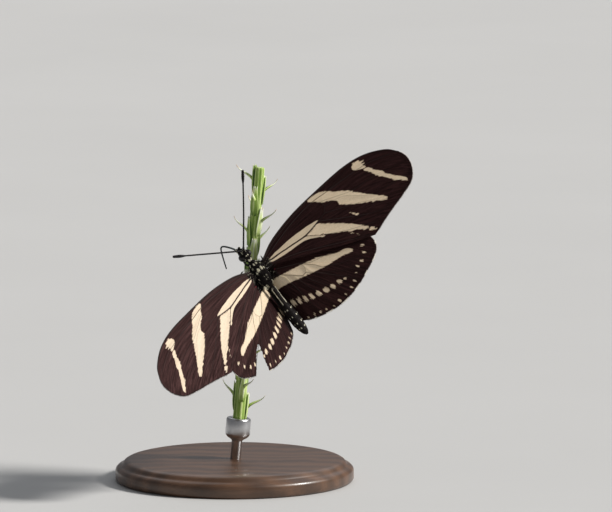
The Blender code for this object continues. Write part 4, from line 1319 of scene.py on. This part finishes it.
# One calyx: a pressed, ribbed vase whose mouth ends in small teeth
def calyxArrays(along, around, seed):
    draw = np.random.default_rng(seed)
    sides, rings = stem["calyxSides"], stem["calyxRings"]
    z = np.linspace(-1, 1, rings)[:, None]
    a = 2 * math.pi * np.arange(sides)[None, :] / sides
    profile = np.clip(1 - (np.clip(-z, 0, 1)) ** 2.2, 0, 1) ** 0.5 * (1 - 0.3 * np.clip(z, 0, 1) ** 1.5)
    profile = profile * np.ones_like(a)
    ribs = 1 + 0.08 * np.cos(5 * a) + 0.04 * np.cos(10 * a)
    teeth = 0.2 * np.clip(z, 0, 1) ** 3 * (np.abs(np.cos(2.5 * a)) - 0.5)
    height = (z + teeth) * stem["calyxLength"] / 2
    width, rise = stem["calyxWidth"] * draw.uniform(0.9, 1.06), stem["calyxRise"]
    x, y = np.cos(a) * profile * ribs, np.sin(a) * profile * ribs
    out = stemRadius(along) - 0.12 + 0.3 * z + rise * x * (1 - 0.15 * z)
    beside = y * width * (1 - 0.25 * z)
    distance = np.hypot(out, beside)
    angle = around + np.degrees(np.arctan2(beside, out))
    verts = stemPoint((along + height).ravel(), angle.ravel(), distance.ravel())
    inner = stemPoint(along + stem["calyxLength"] * 0.34, around, stemRadius(along) + 0.15)
    bottom = stemPoint(along - stem["calyxLength"] / 2, around, stemRadius(along) - 0.42)
    verts = np.vstack([verts, bottom, inner])
    tone = 0.3 + 0.24 * np.cos(5 * a) ** 3 + 0.1 * np.cos(10 * a) + 0.55 * np.clip(z, 0, 1) ** 4
    # Painted shade: each calyx is made darker on its flanks, where it tucks between its neighbours, and
    # towards its base
    flank = 1 - np.clip((np.cos(a) + 0.05) / 0.45, 0, 1)
    tone = tone - 0.55 * flank - 0.45 * np.clip(-z, 0, 1) ** 1.5
    tint = np.concatenate([(tone + draw.uniform(-0.15, 0.3)).ravel(), [0.1, 0.0]])
    return verts, tubeFaces(rings, sides), tint


# One bract: a keeled blade, pressed to the stem, then bent outwards and hooked up at its thin point
def bractArrays(along, around, seed):
    draw = np.random.default_rng(seed)
    rings, held = stem["bractRings"], stem["bractHeld"]
    t = np.linspace(0, 1, rings)
    free = np.clip((t - held) / (1 - held), 0, 1)
    lowest, swing = stem["bractAngles"]
    slope = np.radians(lowest + draw.uniform(-6, 10) + swing * ((free - 0.5) / 0.5) ** 2)
    step = np.diff(free, prepend=0.0) * draw.uniform(*stem["bractLength"])
    rise = -stem["bractPressed"] * (1 - np.clip(t / held, 0, 1)) + np.cumsum(step * np.sin(slope))
    lean = 0.16 + 0.35 * np.minimum(t, held) + np.cumsum(step * np.cos(slope))
    path = stemPoint(along + rise, around + draw.uniform(-16, 16) * free, stemRadius(along) + lean)
    ahead = unit(np.gradient(path, axis=0))
    outward = path - stemPoint(along + rise, around, 0.0)
    outward = unit(outward - ahead * np.einsum("ij,ij->i", outward, ahead)[:, None])
    beside = np.cross(outward, ahead)
    half = stem["bractHalf"] * np.sin(math.pi * np.clip(t * 0.62 + 0.2, 0, 1)) ** 1.2 * (1 - t) ** 0.65
    half = (half + 0.05)[:, None]
    rows = [path - beside * half - outward * half * 0.8, path + outward * (half * 0.45 + 0.02),
            path + beside * half - outward * half * 0.8, path - outward * (half * 0.1 + 0.03)]
    verts = np.stack(rows, axis=1).reshape(-1, 3)
    faces = []
    for k in range(rings - 1):
        for m in range(4):
            n = (m + 1) % 4
            faces.append((4 * k + m, 4 * k + n, 4 * k + 4 + n, 4 * k + 4 + m))
    faces.append((3, 2, 1, 0))
    faces.append(tuple(4 * (rings - 1) + m for m in range(4)))
    tint = np.repeat(-0.25 + 1.4 * t ** 1.6 + draw.uniform(-0.1, 0.2), 4)
    return verts, faces, tint


def stemMaterial():
    s = Surface("stem_green")
    where = s.placed()
    broad = s.noise(where, 260.0, 3.0)
    fine = s.noise(s.placed((1.0, 1.0, 0.22)), 5200.0, 4.0, 0.6)
    tint = s.attribute("tint") + (fine - 0.5) * 0.5
    leaf = s.mix(broad, (0.15, 0.27, 0.03), (0.32, 0.48, 0.075))
    leaf = s.mix(tint.step(-0.35, 0.02), (0.045, 0.11, 0.012), leaf)
    colour = s.mix(tint.step(0.0, 0.45), leaf, (0.6, 0.73, 0.28))
    colour = s.mix(tint.step(0.38, 0.8), colour, (0.82, 0.86, 0.68))
    colour = s.mix(tint.step(0.95, 1.25), colour, (0.58, 0.42, 0.3))
    return s.finish(Base_Color=colour, Roughness=0.46 + fine * 0.22, Specular_IOR_Level=0.4,
                    Normal=s.bump(fine, 0.5, 0.00008))


def makeStem():
    parts = [makeStemCore()]
    for i, along, around in calyxSpots():
        parts.append(calyxArrays(along, around, 100 + i))
        facesBody = abs(around) < stem["gripAround"] and stem["gripZone"][0] < along < stem["gripZone"][1]
        if not facesBody:
            parts.append(bractArrays(along, around, 200 + i))
    verts, cells = joinArrays([part[:2] for part in parts])
    piece = pieceFrom("stem_with_calyces", verts * mm, cells)
    setAttribute(piece, "tint", np.concatenate([part[2] for part in parts]))
    finishPiece(piece, stemMaterial(), "stem", "perch_stem")
    print("flower stem")


makeStem()

# Display stand: radius and height of each step of the turned shapes (millimetres). The rod's steps above
# its neck belong to the cup, whose floor stands at cupFloor
stand = {
    "disc": [(27.3, 0.0), (27.75, 0.22), (28.0, 0.7), (28.0, 2.5), (27.85, 2.95), (27.45, 3.35),
             (26.9, 3.62),
             (26.5, 3.8), (26.25, 4.1), (25.95, 4.5), (25.4, 4.82), (24.6, 5.0), (12.0, 5.0), (2.2, 5.0)],
    "rod": [(1.05, 0.0), (1.25, 0.2), (1.25, "neck"), (1.4, 1.35), (2.4, 2.0), (2.8, 2.5), (2.9, 2.9),
            (2.9, 6.1), (2.75, 6.45), (2.5, 6.6), (2.05, 6.6), (1.85, 6.4), (1.8, 6.1), (1.8, 2.7)],
    "discSegments": 128, "rodSegments": 64,
    "plinth": 0.3, "cupFloor": 2.7, "neckBelowFloor": 1.6, "gapInCup": 0.3,
}


# A turned shape, drawn out of one disc step by step
def turned(name, profile, segments):
    clearSelection()
    bpy.ops.mesh.primitive_circle_add(vertices=segments, radius=profile[0][0] * mm, fill_type="NGON")
    piece = bpy.context.active_object
    piece.name = piece.data.name = name
    bpy.ops.object.mode_set(mode="EDIT")
    bpy.ops.mesh.select_all(action="SELECT")
    for (radius, height), (nextRadius, nextHeight) in zip(profile, profile[1:]):
        step = (0.0, 0.0, (nextHeight - height) * mm)
        bpy.ops.mesh.extrude_region_move(TRANSFORM_OT_translate={"value": step})
        share = nextRadius / radius
        middle = (0.0, 0.0, nextHeight * mm)
        bpy.ops.transform.resize(value=(share, share, 1.0), center_override=middle)
    bpy.ops.mesh.select_all(action="SELECT")
    bpy.ops.mesh.normals_make_consistent(inside=False)
    bpy.ops.object.mode_set(mode="OBJECT")
    piece.data.shade_smooth()
    return piece


def walnutMaterial():
    s = Surface("walnut")
    where = s.placed((1.0, 14.0, 14.0))
    warp = s.noise(where, 22.0, 3.0)
    grain = s.noise(s.placed((2.0, 60.0, 60.0)), 30.0, 5.0, 0.65)
    rings = s.node("ShaderNodeTexWave", {"bands_direction": "Y"},
                   {"Vector": s.placed(), "Scale": 55.0, "Distortion": 7.0, "Detail": 3.0,
                    "Detail Scale": 1.2}, out=1)
    colour = s.mix(rings, (0.05, 0.024, 0.013), (0.125, 0.062, 0.033))
    colour = s.mix(grain.step(0.35, 0.75) * 0.55, colour, (0.028, 0.014, 0.009))
    colour = s.mix(warp * 0.35, colour, (0.16, 0.085, 0.045))
    return s.finish(Base_Color=colour, Roughness=0.3 + grain * 0.2, Coat_Weight=0.25 + grain * 0.1,
                    Coat_Roughness=0.18, Normal=s.bump(grain, 0.25, 0.00006))


def steelMaterial():
    s = Surface("brushed_steel")
    lines = s.noise(s.placed((1.0, 1.0, 24.0)), 900.0, 3.0)
    cloud = s.noise(s.placed(), 160.0, 3.0)
    colour = s.mix(cloud, (0.5, 0.5, 0.51), (0.62, 0.62, 0.63))
    return s.finish(Base_Color=colour, Metallic=1.0, Roughness=0.22 + lines * 0.18,
                    Normal=s.bump(lines, 0.12, 0.00003))


def makeStand():
    disc = turned("turned_disc", stand["disc"], stand["discSegments"])
    disc.data.transform(Matrix.Translation([*(discCentre[:2] * mm), 0.0]))
    finishPiece(disc, walnutMaterial(), "stand_wood", "stand_base")
    floorOfCup = stemCentre - stemAxis * (specimen["stemBelow"] + stand["gapInCup"])
    length = (floorOfCup[2] - specimen["rodSeat"]) / stemAxis[2]
    profile = []
    for radius, height in stand["rod"]:
        if height == "neck":
            height = length - stand["neckBelowFloor"]
        elif height > stand["plinth"]:
            height = height + length - stand["cupFloor"]
        profile.append((radius, height))
    rod = turned("rod_with_cup", profile, stand["rodSegments"])
    seated = Matrix.Translation(Vector((floorOfCup - stemAxis * length) * mm))
    rod.data.transform(seated @ Matrix.Rotation(lean, 4, "Y"))
    finishPiece(rod, steelMaterial(), "stand_metal", "stand_rod")
    print("stand")


makeStand()

# Stage, light and camera
stage = {
    "floor": 9.0,
    "target": (10.27, 0.55, 3.93),
    "distance": 2.0,
    "elevation": 8.0,
    "view": 0.14284, "sensor": 36.0, "clip": (0.1, 60.0),
    "keyFrom": (0.77, -0.14, 0.62), "keyPower": 4.3, "keySpread": 12.0, "keyColour": (1.0, 0.97, 0.93),
    "fillFrom": (0.1, 0.6, 0.8), "fillPower": 0.5, "fillSpread": 60.0, "fillColour": (0.93, 0.96, 1.0),
    "sky": (0.86, 0.88, 0.92), "skyPower": 0.2,
}


def floorMaterial():
    s = Surface("studio_floor")
    grain = s.noise(s.placed(), 9.0, 3.0)
    fine = s.noise(s.placed(), 700.0, 2.0)
    colour = s.mix(grain, (0.52, 0.52, 0.515), (0.56, 0.56, 0.555))
    return s.finish(Base_Color=colour, Roughness=0.7 + fine * 0.1,
                    Normal=s.bump(fine, 0.05, 0.0001))


def makeLamp(name, direction, power, spread, colour):
    clearSelection()
    bpy.ops.object.light_add(type="SUN")
    lamp = bpy.context.active_object
    lamp.name = name
    lamp.data.angle = math.radians(spread)
    lamp.data.energy = power
    lamp.data.color = colour
    lamp.rotation_mode = "QUATERNION"
    lamp.rotation_quaternion = Vector(direction).to_track_quat("Z", "Y")


def makeStage():
    clearSelection()
    bpy.ops.mesh.primitive_circle_add(vertices=96, radius=stage["floor"], fill_type="NGON")
    floor = bpy.context.active_object
    floor.name = "studio_floor"
    floor.data.materials.append(floorMaterial())
    for lamp in ("key", "fill"):
        makeLamp(f"{lamp}_lamp", stage[lamp + "From"], stage[lamp + "Power"], stage[lamp + "Spread"],
                 stage[lamp + "Colour"])
    world = bpy.data.worlds.new("studio_sky")
    world.use_nodes = True
    sky = world.node_tree.nodes["Background"]
    sky.inputs["Color"].default_value = (*stage["sky"], 1.0)
    sky.inputs["Strength"].default_value = stage["skyPower"]
    bpy.context.scene.world = world
    bpy.context.scene.view_settings.view_transform = "Standard"
    clearSelection()
    up = math.radians(stage["elevation"])
    back = Vector((0.0, -math.cos(up), math.sin(up)))
    target = Vector((bodyCentre + stage["target"]) * mm)
    bpy.ops.object.camera_add(location=target + back * stage["distance"])
    camera = bpy.context.active_object
    camera.rotation_mode = "QUATERNION"
    camera.rotation_quaternion = back.to_track_quat("Z", "Y")
    camera.data.sensor_width = stage["sensor"]
    camera.data.lens = stage["sensor"] * stage["distance"] / stage["view"]
    camera.data.clip_start, camera.data.clip_end = stage["clip"]
    bpy.context.scene.camera = camera
    print("stage, light and camera")


makeStage()
